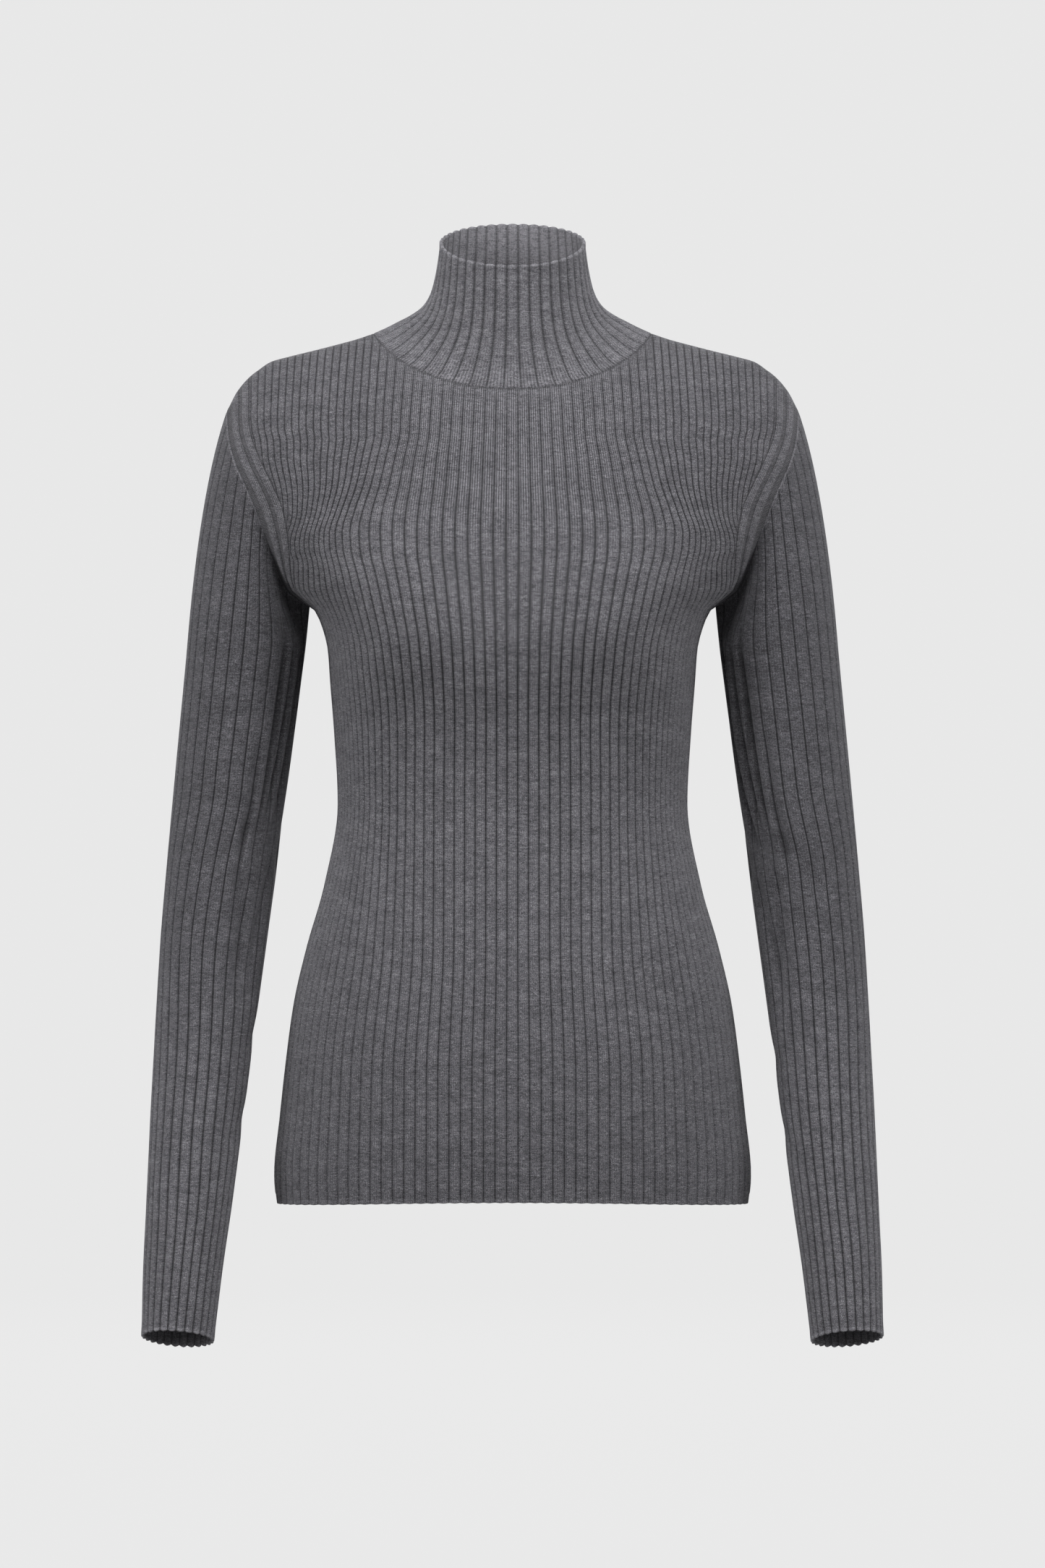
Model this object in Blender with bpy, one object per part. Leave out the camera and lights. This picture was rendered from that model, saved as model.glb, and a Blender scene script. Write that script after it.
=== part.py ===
"""Rib-knit turtleneck sweater, filled out as it is worn, with nobody in it.

Five knitted pieces meet at linked seams: a front, a back, two sleeves and a collar. Each is one
closed wall of cloth. Its inside is plain, and its outside carries the knit ribs: a crest and a
groove for each rib, which run up the body, down the sleeves and up the neck.

Sizes are in millimetres. Heights are above the hem. The frame's origin is midway between the two
high shoulder points, where the wearer's shoulders carry the sweater. X runs across the body, the
front faces -Y, and +Z is up.
"""

import functools

import bmesh
import bpy
import numpy as np

MM = 0.001

# The cloth: a crest, a groove and the plain inside lie at these depths under the outer face.
CREST = 0.0
GROOVE = 1.1
WALL = 2.3
SEAM_GAP = 0.4
SEAM_BEVEL = 0.9  # the inside edges stand back this much further from a seam
CAP_CLEAR = 0.1  # a sleeve stands this much further out from its armhole

# Ribs, counted from the middle of a panel to its side.
MIDDLE_RIBS = 21  # on each side of the middle rib, from hem to shoulder
EDGE_RIBS = 2  # along the side seam, and then beside the armhole seam
COLLAR_RIBS = 42
SLEEVE_RIBS = 26
EDGE_KEY = 100  # edge ribs are numbered from here, above every other rib
SEAM_KEY = EDGE_KEY + EDGE_RIBS + 0.5
CORNER_KEY = -1
RIB_EASE = 2.2  # how late the ribs draw together on their way from the middle to the side

ACROSS_POWER = 2.3  # the form's horizontal section is a superellipse, flat at the middle

HEM = 2.5
HEM_RISE = 3.6  # the hem is this much higher at the middle of the front
UNDERARM = 421.0
SHOULDER = 559.0  # height of the shoulder point, where the armhole seam crosses the ridge
SHOULDER_X = 201.5
NECK_X = 98.5  # half the distance between the high shoulder points
NECK_HEIGHT = 613.0

# The bust: two soft rises of the front on either side of the middle.
BUST_PROUD = 9.0
BUST_X, BUST_WIDTH = 75.0, 44.0
BUST_HEIGHT, BUST_TALL = 408.0, 46.0

FRONT = -1
BACK = 1
SAMPLES = 121  # points on a curve whose length is measured
EDGE_ANGLE = 0.6  # radians: a sharper edge, as at the foot of a rib, isn't shaded smooth
MELANGE = (0.095, 0.093, 0.104, 1)


class Table:
    """Sizes against a first column, read between the rows along a smooth, never overshooting curve."""

    def __init__(self, names, *rows):
        values = np.array(rows, float)
        self.where = values[:, 0]
        self.columns = dict(zip(names.split()[1:], values[:, 1:].T))

    def at(self, name, where):
        x, y = self.where, self.columns[name]
        step = np.diff(x)
        rise = np.diff(y) / step
        slope = np.zeros(len(x))
        same = rise[:-1] * rise[1:] > 0
        slope[1:-1] = np.where(same, 2 * rise[:-1] * rise[1:] / np.where(same, rise[:-1] + rise[1:], 1), 0)
        slope[0], slope[-1] = rise[0], rise[-1]
        where = np.clip(where, x[0], x[-1])
        i = np.clip(np.searchsorted(x, where, side="right") - 1, 0, len(step) - 1)
        t = (where - x[i]) / step[i]
        start = (1 + 2 * t) * (1 - t) ** 2 * y[i] + t * (1 - t) ** 2 * step[i] * slope[i]
        end = t * t * (3 - 2 * t) * y[i + 1] + t * t * (t - 1) * step[i] * slope[i + 1]
        return start + end


# The body's form, at the rib crests. half_width is that of the whole form with the tops of the
# arms, and width that of the panels' columns. The panels end at their seam, this far from the
# middle and this far before or behind the spine, the depth of the sides and of the shoulder ridge.
# front and back are depths at the middle, and fullness is the power that keeps a section full.
BODY = Table(
    "height half_width width seam seam_off front back spine fullness",
    (0, 168, 168, 168, 0, -100, 112, 8, 1.8),
    (20, 168.6, 168.6, 168.6, 0, -102, 116, 8, 1.8),
    (60, 164.7, 164.7, 164.7, 0, -104, 121, 8, 1.8),
    (100, 160.3, 160.3, 160.3, 0, -103, 120, 8, 1.8),
    (140, 154.8, 154.8, 154.8, 0, -99, 114, 7, 1.8),
    (180, 145.6, 145.6, 145.6, 0, -94, 104, 6, 1.8),
    (225, 132.9, 132.9, 132.9, 0, -88, 90, 4, 1.8),
    (281, 124.2, 123.9, 123.9, 0, -85, 80, 2, 1.8),
    (330, 127.5, 126.4, 126.4, 0, -91, 82, 0, 1.85),
    (368, 133, 129.5, 129.3, 0, -101, 87, -2, 1.9),
    (389, 138, 132.5, 130.8, 0, -106, 91, -2, 1.9),
    (404, 143.5, 137.5, 134.4, 0, -108, 94, -1, 1.9),
    (421, 155, 146.5, 143, 0, -109, 97, 0, 1.9),
    (424, 157.5, 148.3, 150, 5, -109, 98, 0, 1.9),
    (429, 162, 151.3, 157.5, 11, -109, 98.5, 1, 1.9),
    (436, 167.5, 155, 162, 19, -109, 99, 2, 1.9),
    (443, 173, 158.7, 165, 26, -108, 100, 2, 1.85),
    (456, 182, 165.5, 169.4, 37, -106, 101, 3, 1.8),
    (473, 193, 173.5, 175, 45, -102, 102, 4, 1.8),
    (490, 204, 181.5, 181.5, 48, -97.5, 102, 5, 1.7),
    (504, 212, 187.7, 187.7, 45, -93.5, 101, 5, 1.7),
    (520, 216.5, 195, 195, 38, -88, 98, 5, 1.7),
    (536, 212.8, 199.6, 199.6, 27, -82, 93.5, 5, 1.7),
    (549, 207, 201.3, 201.3, 16, -76.5, 87, 5, 1.7),
    (554, 204.5, 201.5, 201.5, 10.8, -74, 84, 5, 1.7),
    (557.5, 202.4, 201.5, 201.5, 5.2, -72, 81, 5, 1.7),
    (559, 201.5, 201.5, 201.5, 0, -71, 80, 5, 1.7),
    (572, 194.6, 201.5, 201.5, 0, -62, 69, 5, 1.7),
    (582, 186.2, 201.5, 201.5, 0, -52, 59, 5, 1.7),
    (588, 178.5, 201.5, 201.5, 0, -45, 52, 5, 1.7),
    (593, 170.9, 201.5, 201.5, 0, -38, 45, 5, 1.7),
    (597, 156.8, 201.5, 201.5, 0, -32, 38, 5, 1.7),
    (601, 140.5, 201.5, 201.5, 0, -27, 33, 5, 1.7),
    (605, 125, 201.5, 201.5, 0, -22, 28, 5, 1.7),
    (609, 110.4, 201.5, 201.5, 0, -16, 22, 5, 1.7),
    (613, 98.5, 201.5, 201.5, 0, -9, 16, 5, 1.7),
)
SEAM_LEAD = 13  # power of a column's share of the width that brings it to the seam

# The fold where the arm's cloth meets the body: a trough that runs beside the armhole seam.
FOLD = Table(
    "height front back",
    (400, 0, 0),
    (421, 3, 2),
    (436, 9, 6),
    (452, 11, 7),
    (472, 8, 5),
    (495, 3, 2),
    (520, 0, 0),
)
FOLD_FROM_SEAM = 26.0
FOLD_WIDTH = 13.0

# Rib pitch along the cloth, at the middle of a panel and of the edge ribs. added counts the ribs
# that fashioning puts in beside the edge ribs, as a panel widens towards the shoulder points.
RIBS = Table(
    "height middle edge added",
    (0, 8.0, 8.0, 0),
    (90, 8.0, 7.6, 0),
    (185, 7.4, 7.0, 0),
    (281, 7.4, 6.6, 0),
    (340, 7.3, 7.0, 0),
    (389, 7.8, 7.6, 0),
    (421, 8.3, 8.5, 0),
    (455, 8.7, 12.0, 0),
    (470, 8.7, 12.5, 1),
    (486, 8.6, 12.5, 2.5),
    (501, 8.3, 12.5, 4),
    (520, 7.9, 12.0, 6),
    (538, 7.5, 11.5, 8),
)

# Rows of crests and grooves. Below the underarm they are given by their heights, and above it by
# where they meet the armhole seam, counted in half ribs of the sleeve. The last of these rise to the
# neckline and the shoulder ridge, and the ones below are level.
BODY_ROWS = (HEM, 70, 140, 210, 281, 335, 378, 403, UNDERARM)
LEVEL_STEPS = (2, 5, 8, 12, 16, 19, 22)
RISING_STEPS = (23, 24, 25, 26)

# The collar, from its seam, 0, to its top edge, 1: the ring's half width, the height of its sides,
# and the depth and height of its front and of its back.
COLLAR = Table(
    "rise side_x side_z front_y front_z back_y back_z",
    (0.00, 98.5, 613.0, -63, 570.5, 53, 588),
    (0.10, 89.5, 617.0, -61.5, 576, 49, 594),
    (0.20, 80.5, 621.5, -60.5, 584, 46, 602),
    (0.30, 72.0, 625.8, -60, 593, 44, 612),
    (0.42, 63.5, 632.0, -59.5, 605, 42, 627),
    (0.55, 58.0, 640.5, -59.5, 618, 41, 643),
    (0.70, 54.8, 651.5, -60, 631, 40, 660),
    (0.85, 52.6, 663.5, -61, 643.5, 39.5, 676),
    (1.00, 51.0, 676.0, -62, 655.5, 39, 692),
)
COLLAR_ROWS = (0, 0.10, 0.20, 0.30, 0.42, 0.55, 0.70, 0.85, 0.97, 1.0)
COLLAR_SETTLES = 0.45  # above this rise the ring no longer follows the neckline's own shape
COLLAR_ROUND = 2.15  # power of the ring's superellipse
COLLAR_FLARE = 95.0  # length of the collar's side for a rise of 1, near its seam

# The arm of a sleeve, by the height of its middle: the inner and outer lines of its front view,
# the depth of its middle, and half its thickness from front to back.
ARM = Table(
    "height inner_x outer_x middle_y half_depth",
    (-100, 208.4, 259.8, -60.6, 28.5),
    (-91, 207.2, 259.6, -58, 28.8),
    (-45, 201.9, 259.2, -46, 31),
    (0, 195.8, 257.6, -34.5, 33.2),
    (62, 188.3, 255.2, -20.5, 36),
    (123, 181.0, 252.2, -9.5, 38.4),
    (185, 173.1, 248.6, -1.5, 40.4),
    (246, 165.0, 243.5, 3, 42),
    (307, 156.8, 237.9, 5, 43.3),
    (360, 150.0, 232.8, 4.5, 44.6),
    (392, 146.0, 229.8, 3.5, 45.5),
    (420, 143.0, 227.5, 2.5, 46),
)
BICEPS = 392.0
CUFF = -91.0
ARM_ROWS = (BICEPS, 342, 288, 234, 180, 126, 72, 18, -36, -80, CUFF)
CAP_ROWS = (0, 0.13, 0.30, 0.50, 0.74)
CAP_LEAVES_OUT = 0.36  # how far outwards the top of the cap sets off, for each step down
CAP_PULL = 0.85  # how far the ends of the cap's ribs keep their direction


def unit(vectors):
    return vectors / np.linalg.norm(vectors, axis=-1, keepdims=True)


def lengths(curve):
    """Length along a curve, from its start to each point."""
    steps = np.linalg.norm(np.diff(curve, axis=0), axis=1)
    return np.concatenate([[0], np.cumsum(steps)])


def along(curve, distance):
    """The points of a curve at these lengths from its start."""
    length = lengths(curve)
    return np.stack([np.interp(distance, length, curve[:, k]) for k in range(3)], axis=-1)


def neckline_height(side, x):
    """The linked seam between body and collar, low at the middle and steep at the shoulder."""
    share = np.abs(x) / NECK_X
    low, steep = (570.5, 10) if side == FRONT else (588, 8)
    return low + (NECK_HEIGHT - low - steep) * share**2.2 + steep * share**8


def ridge_height(x):
    """The height of the shoulder ridge, which the shoulder seam follows."""
    heights = np.linspace(SHOULDER, NECK_HEIGHT, 200)
    return np.interp(-np.abs(x), -BODY.at("half_width", heights), heights)


def across(turn):
    """The share of the width at a share of the turn from the middle to the side."""
    return np.sin(np.asarray(turn) * np.pi / 2) ** (2 / ACROSS_POWER)


CORNER = NECK_X / SHOULDER_X  # the high shoulder point's share of a panel's half width


class Panel:
    """The outer face of the front or the back, on its right half."""

    def __init__(self, side):
        self.side = side
        seam_heights = UNDERARM + (SHOULDER - UNDERARM) * np.linspace(0, 1, 4 * SAMPLES) ** 2
        seam = lengths(self.face(np.ones_like(seam_heights), seam_heights))
        steps = np.array(LEVEL_STEPS) / RISING_STEPS[-1]
        self.level_heights = np.interp(steps * seam[-1], seam, seam_heights)
        self.level_top = self.level_heights[-1]
        rising = len(RISING_STEPS)
        self.rows = [(height, 0) for height in (*BODY_ROWS, *self.level_heights)]
        self.rows += [(self.level_top, step / rising) for step in range(1, rising + 1)]

    def section(self, x, height):
        """Depths of the whole form's section."""
        turn = np.clip(x / BODY.at("half_width", height), 0, 1)
        middle = BODY.at("front" if self.side == FRONT else "back", height)
        spine = BODY.at("spine", height)
        return spine + (middle - spine) * (1 - turn**ACROSS_POWER) ** (1 / BODY.at("fullness", height))

    def face(self, share, height):
        """Points of the panel at these shares of its width and these heights."""
        seam_x, width = BODY.at("seam", height), BODY.at("width", height)
        seam_y = BODY.at("spine", height) + self.side * BODY.at("seam_off", height)
        lead = share**SEAM_LEAD
        x = share * width + (seam_x - width) * lead
        y = self.section(x, height) + (seam_y - self.section(seam_x, height)) * lead
        fold = np.exp(-(((seam_x - x - FOLD_FROM_SEAM) / FOLD_WIDTH) ** 2))
        y = y - self.side * FOLD.at("front" if self.side == FRONT else "back", height) * fold
        if self.side == FRONT:
            bust = ((x - BUST_X) / BUST_WIDTH) ** 2 + ((height - BUST_HEIGHT) / BUST_TALL) ** 2
            y = y - BUST_PROUD * np.exp(-bust)
            height = height + HEM_RISE * (1 - height / NECK_HEIGHT) ** 9 * (1 - share**2)
        return np.stack([x, y, height + 0 * x], axis=-1)

    def top_height(self, share):
        x = share * SHOULDER_X
        return np.where(x < NECK_X, neckline_height(self.side, np.minimum(x, NECK_X)), ridge_height(x))

    def points(self, share, height, rise, up=0.0):
        """A row's points at these shares. A rising row's lie at a share of each column's length."""
        if not rise:
            return self.face(share, height + up)
        climb = 1 - (1 - np.linspace(0, 1, SAMPLES)) ** 2
        top = self.top_height(share)
        heights = height + (top - height)[:, None] * climb
        columns = self.face(np.repeat(share[:, None], SAMPLES, axis=1), heights)
        return np.array([along(column, rise * lengths(column)[-1] + up) for column in columns])

    def seam(self):
        """The armhole seam from the underarm to the shoulder point, row by row."""
        above = [row for row in self.rows if row[0] >= UNDERARM]
        return np.array([self.points(np.ones(1), *row)[0] for row in above])


class Row:
    """One row of a panel's outer face: points and normals by their length from the middle."""

    def __init__(self, panel, height, rise, up=0.0):
        self.share = across(np.linspace(0, 1, SAMPLES))
        self.points = panel.points(self.share, height, rise, up)
        self.length = lengths(self.points)
        climb = self.points - panel.points(self.share, height, rise, up - 1.0)
        normals = unit(np.cross(np.gradient(self.points, axis=0), climb))
        outwards = normals @ np.array([0.5, panel.side, 0.2])
        self.normals = normals * np.where(outwards < 0, -1, 1)[:, None]

    def share_at(self, place):
        return np.interp(place, self.length, self.share)

    def place_of(self, share):
        return np.interp(share, self.share, self.length)

    def sunk(self, place, depth):
        """The point at this length from the middle, this deep under the outer face."""
        point = np.array([np.interp(place, self.length, self.points[:, k]) for k in range(3)])
        normal = np.array([np.interp(place, self.length, self.normals[:, k]) for k in range(3)])
        return point - depth * unit(normal)


def rib_places(height, total):
    """Keys of the crests and grooves from the middle to the side, and their places along a row."""
    added = int(round(float(RIBS.at("added", height))))
    middle, edge = float(RIBS.at("middle", height)), float(RIBS.at("edge", height))
    last = MIDDLE_RIBS + added + 0.5
    reach = total - EDGE_RIBS * edge
    keys = np.arange(0, last - 0.1, 0.5)
    places = middle * keys + (reach - middle * last) * (keys / last) ** RIB_EASE
    edge_steps = np.arange(0.5, EDGE_RIBS + 0.6, 0.5)
    keys = np.concatenate([keys, EDGE_KEY + edge_steps])
    return keys, np.concatenate([places, reach + (edge_steps - 0.5) * edge])


class Wall:
    """A closed wall of cloth, built row by row and then sewn into one mesh."""

    def __init__(self):
        self.mesh = bmesh.new()

    def vertex(self, point):
        x, y, z = point
        return self.mesh.verts.new((x * MM, y * MM, (z - NECK_HEIGHT) * MM))

    def face(self, *corners):
        corners = list(dict.fromkeys(corners))
        if len(corners) > 2:
            self.mesh.faces.new(corners)

    def strip(self, low, high):
        """Faces between two rows, each a list of (key, vertex). A key that only one has makes a triangle."""
        low_keys, high_keys = {k for k, _ in low}, {k for k, _ in high}
        i = j = 0
        while i < len(low) - 1 or j < len(high) - 1:
            step_low = i < len(low) - 1 and (low[i + 1][0] not in high_keys or j == len(high) - 1)
            step_high = j < len(high) - 1 and (high[j + 1][0] not in low_keys or i == len(low) - 1)
            if step_low:
                self.face(low[i][1], low[i + 1][1], high[j][1])
                i += 1
            elif step_high:
                self.face(low[i][1], high[j + 1][1], high[j][1])
                j += 1
            else:
                self.face(low[i][1], low[i + 1][1], high[j + 1][1], high[j][1])
                i, j = i + 1, j + 1

    def close(self, outer, inner):
        """Faces between two edges with the same ends, by their shares of length."""
        a, b = self.shares(outer), self.shares(inner)
        i = j = 0
        while i < len(outer) - 1 or j < len(inner) - 1:
            if j == len(inner) - 1 or (i < len(outer) - 1 and a[i + 1] <= b[j + 1]):
                self.face(outer[i], outer[i + 1], inner[j])
                i += 1
            else:
                self.face(outer[i], inner[j + 1], inner[j])
                j += 1

    @staticmethod
    def shares(edge):
        steps = [(b.co - a.co).length for a, b in zip(edge, edge[1:])]
        return np.concatenate([[0], np.cumsum(steps)]) / sum(steps)

    def finish(self, name):
        bmesh.ops.recalc_face_normals(self.mesh, faces=self.mesh.faces)
        mesh = bpy.data.meshes.new(name)
        self.mesh.to_mesh(mesh)
        self.mesh.free()
        mesh.materials.append(wool(name + " wool"))
        mesh.shade_smooth()
        mesh.set_sharp_from_angle(angle=EDGE_ANGLE)
        COLLECTION.objects.link(bpy.data.objects.new(name, mesh))


def is_crest(key):
    return float(key).is_integer()


def knit_panel(name, side):
    """The front or the back: rib crests and grooves outside, and every second crest inside."""
    panel = PANELS[side]
    wall = Wall()
    outer_rows, inner_rows = [], []
    shares = {}
    for height, rise in panel.rows:
        linked = SEAM_GAP / 2 if rise == 1 else 0
        outside = Row(panel, height, rise, -linked)
        inside = Row(panel, height, rise, -linked - SEAM_BEVEL if linked else 0)
        if rise == 0:
            keys, places = rib_places(height, outside.length[-1])
            shares = dict(zip(keys.tolist(), outside.share_at(places).tolist()))
        elif rise == 1:
            shares[CORNER_KEY] = CORNER
        outer, inner = [], []
        for key, share in sorted(shares.items(), key=lambda item: item[1]):
            back_off = SEAM_GAP / 2 if key == SEAM_KEY else 0
            depth = CREST if is_crest(key) else GROOVE
            outer.append((key, outside.sunk(outside.place_of(share) - back_off, depth)))
            if key in (CORNER_KEY, SEAM_KEY) or (is_crest(key) and key % 2 == 0):
                back_off += SEAM_BEVEL if key == SEAM_KEY else 0
                inner.append((key, inside.sunk(inside.place_of(share) - back_off, WALL)))
        outer_rows.append(mirrored(wall, outer))
        inner_rows.append(mirrored(wall, inner))
    for rows in (outer_rows, inner_rows):
        for low, high in zip(rows, rows[1:]):
            wall.strip(low, high)
    for end in (0, -1):
        wall.close([v for _, v in outer_rows[end]], [v for _, v in inner_rows[end]])
        wall.close([row[end][1] for row in outer_rows], [row[end][1] for row in inner_rows])
    wall.finish(name)


def mirrored(wall, half):
    """A whole row of vertices, left to right, from its right half."""
    flip = np.array([-1, 1, 1])
    left = [(("left", key), wall.vertex(point * flip)) for key, point in reversed(half) if key != 0]
    return left + [(key, wall.vertex(point)) for key, point in half]


def knit_tube(name, face, ribs, flip=1):
    """A tube of ribs. face.frame gives a point and its normal, by row and share of the way round."""
    wall = Wall()
    scale = np.array([flip, 1, 1])
    outer_rows, inner_rows = [], []
    for number, row in enumerate(face.rows):
        linked = SEAM_GAP / 2 if number == 0 else 0
        outer, inner = [], []
        for step in range(2 * ribs):
            point, normal = face.frame(row, step / (2 * ribs), linked)
            depth = GROOVE if step % 2 else CREST
            outer.append((step, wall.vertex((point - depth * normal) * scale)))
            if step % 4 == 0:
                point, normal = face.frame(row, step / (2 * ribs), linked and linked + SEAM_BEVEL)
                inner.append((step, wall.vertex((point - WALL * normal) * scale)))
        for ring in (outer, inner):
            ring.append((2 * ribs, ring[0][1]))
        outer_rows.append(outer)
        inner_rows.append(inner)
    for rows in (outer_rows, inner_rows):
        for low, high in zip(rows, rows[1:]):
            wall.strip(low, high)
    for end in (0, -1):
        wall.close([v for _, v in outer_rows[end]], [v for _, v in inner_rows[end]])
    wall.finish(name)


class CollarFace:
    """The collar's outer face, by its rise and by share of the way round from the front."""

    rows = COLLAR_ROWS
    spine_top = -11.5  # depth of the middle of the top ring

    @staticmethod
    def half(angle):
        """Which half of the ring this is, with how far it lies to the side and to the front or back."""
        side = FRONT if np.cos(angle) > 0 else BACK
        swing = np.sin(angle)
        sideways = np.sign(swing) * abs(swing) ** (2 / COLLAR_ROUND)
        return side, sideways, abs(np.cos(angle))

    def table_point(self, rise, angle):
        """Front, side and back of a ring from the table, joined by quarter superellipses."""
        side, sideways, lean = self.half(angle)
        end = "front" if side == FRONT else "back"
        spine = float(BODY.at("spine", NECK_HEIGHT)) * (1 - rise) + self.spine_top * rise
        side_x, side_z = float(COLLAR.at("side_x", rise)), float(COLLAR.at("side_z", rise))
        end_y, end_z = float(COLLAR.at(end + "_y", rise)), float(COLLAR.at(end + "_z", rise))
        y = spine + (end_y - spine) * lean ** (2 / COLLAR_ROUND)
        return np.array([side_x * sideways, y, side_z + (end_z - side_z) * lean])

    def ring_point(self, rise, angle):
        """A ring's point, led from the neckline of the body into the table's form."""
        point = self.table_point(rise, angle)
        if rise >= COLLAR_SETTLES:
            return point
        side, sideways, _ = self.half(angle)
        x = NECK_X * sideways
        share = np.array([abs(x) / SHOULDER_X])
        height = neckline_height(side, x)
        seam = PANELS[side].face(share, np.array([height]))[0]
        seam[0] = x
        return point + (seam - self.table_point(0.0, angle)) * (1 - rise / COLLAR_SETTLES) ** 2

    @functools.lru_cache(maxsize=None)
    def ring(self, rise):
        """The angles round a ring with their shares of its length, to place ribs evenly."""
        angles = np.linspace(0, 2 * np.pi, 2 * SAMPLES)
        length = lengths(np.array([self.ring_point(rise, angle) for angle in angles]))
        return angles, length / length[-1]

    def frame(self, rise, share, back_off):
        rise = max(rise, back_off / COLLAR_FLARE)
        angles, length = self.ring(rise)
        angle = float(np.interp(share, length, angles))
        low, high = max(rise - 0.01, 0), min(rise + 0.01, 1)
        around = self.ring_point(rise, angle + 0.01) - self.ring_point(rise, angle - 0.01)
        up = self.ring_point(high, angle) - self.ring_point(low, angle)
        outwards = np.array([np.sin(angle), -np.cos(angle), 0.3])
        return self.ring_point(rise, angle), facing(around, up, outwards)


def facing(along_one, along_other, outwards):
    """The unit normal of a face that holds two directions, on the side of outwards."""
    normal = unit(np.cross(along_one, along_other))
    return normal if normal @ outwards > 0 else -normal


def arm_point(height, share):
    """A point of the arm: share 0 is its outer line, 0.25 the front and 0.5 the inner line."""
    middles = []
    for at in (height - 4.0, height, height + 4.0):
        x = (ARM.at("inner_x", at) + ARM.at("outer_x", at)) / 2
        middles.append(np.array([x, ARM.at("middle_y", at), at]))
    axis = unit(middles[2] - middles[0])
    outwards = unit(np.cross(np.array([0, 1.0, 0]), axis))
    forwards = unit(np.cross(axis, outwards)) * -1
    half_width = (ARM.at("outer_x", height) - ARM.at("inner_x", height)) / 2 * axis[2]
    half_depth = ARM.at("half_depth", height)
    angle = 2 * np.pi * share
    return middles[1] + half_width * np.cos(angle) * outwards + half_depth * np.sin(angle) * forwards


class SleeveFace:
    """A sleeve's outer face: the cap from the armhole seam to the biceps, then the arm to the cuff."""

    rows = [("cap", rise) for rise in CAP_ROWS] + [("arm", height) for height in ARM_ROWS]

    def __init__(self):
        self.steps = (0, *LEVEL_STEPS, *RISING_STEPS)
        self.seams = {side: PANELS[side].seam() for side in (FRONT, BACK)}

    def armhole(self, share):
        """A point of the armhole seam: share 0 is the shoulder point and 0.5 the underarm."""
        turn = 2 * (share % 1.0) - 1
        seam = self.seams[FRONT if turn < 0 else BACK]
        step = abs(turn) * RISING_STEPS[-1]
        return np.array([np.interp(step, self.steps, seam[:, k]) for k in range(3)])

    def cap_point(self, rise, share):
        """A rib of the cap: it leaves the seam down the arm, and joins the biceps ring in line."""
        start, end = self.armhole(share), arm_point(BICEPS, share)
        top = max(0.0, np.cos(2 * np.pi * share)) ** 2
        leaves = unit(np.array([0.10 + (CAP_LEAVES_OUT - 0.10) * top, 0, -1.0]))
        joins = unit(arm_point(BICEPS - 6, share) - arm_point(BICEPS + 6, share))
        pull = CAP_PULL * np.linalg.norm(end - start)
        t = rise
        return (
            (1 + 2 * t) * (1 - t) ** 2 * start
            + t * (1 - t) ** 2 * pull * leaves
            + t * t * (3 - 2 * t) * end
            + t * t * (t - 1) * pull * joins
        )

    def frame(self, row, share, back_off):
        part, at = row
        surface = self.cap_point if part == "cap" else arm_point
        step = 0.01 if part == "cap" else 1.5
        point = surface(at, share)
        around = surface(at, share + 0.004) - surface(at, share - 0.004)
        down = surface(at + step, share) - surface(at - step if part == "arm" else max(at - step, 0), share)
        middle = sum(surface(at, share + quarter / 4) for quarter in range(4)) / 4
        normal = facing(around, down, point - middle)
        clear = back_off + CAP_CLEAR if back_off else 0
        return point + np.array([clear, 0, 0]), normal


def wool(name):
    """Grey melange wool knit, fully rough."""
    material = bpy.data.materials.new(name)
    material.use_nodes = True
    shader = material.node_tree.nodes["Principled BSDF"]
    shader.inputs["Base Color"].default_value = MELANGE
    shader.inputs["Roughness"].default_value = 0.95
    shader.inputs["Metallic"].default_value = 0.0
    return material


for old in list(bpy.data.objects):
    bpy.data.objects.remove(old)
COLLECTION = bpy.data.collections.new("turtleneck_sweater")
bpy.context.scene.collection.children.link(COLLECTION)
PANELS = {side: Panel(side) for side in (FRONT, BACK)}

knit_panel("front", FRONT)
knit_panel("back", BACK)
knit_tube("sleeve_left", SleeveFace(), SLEEVE_RIBS, flip=1)
knit_tube("sleeve_right", SleeveFace(), SLEEVE_RIBS, flip=-1)
knit_tube("collar", CollarFace(), COLLAR_RIBS)
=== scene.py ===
import math

import bpy
import numpy as np
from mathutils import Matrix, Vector


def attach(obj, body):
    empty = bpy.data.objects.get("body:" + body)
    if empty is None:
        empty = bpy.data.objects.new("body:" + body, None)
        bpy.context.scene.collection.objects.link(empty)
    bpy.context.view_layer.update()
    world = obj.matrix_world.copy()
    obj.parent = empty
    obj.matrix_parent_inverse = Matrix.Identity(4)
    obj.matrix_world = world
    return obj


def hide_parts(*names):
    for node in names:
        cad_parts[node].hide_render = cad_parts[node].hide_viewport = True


# Rib-knit turtleneck sweater, filled out as worn. Sizes are in millimetres and heights are above
# the hem, as in the maker's tables; the last step takes a mesh to metres, below the shoulder points.

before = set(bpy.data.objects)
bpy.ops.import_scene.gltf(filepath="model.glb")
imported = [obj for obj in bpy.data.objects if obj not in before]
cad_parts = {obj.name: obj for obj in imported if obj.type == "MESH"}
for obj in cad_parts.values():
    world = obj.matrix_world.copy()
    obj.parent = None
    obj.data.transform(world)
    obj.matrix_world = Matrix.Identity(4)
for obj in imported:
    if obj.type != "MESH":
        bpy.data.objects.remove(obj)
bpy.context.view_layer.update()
print("frame loaded")

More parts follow.
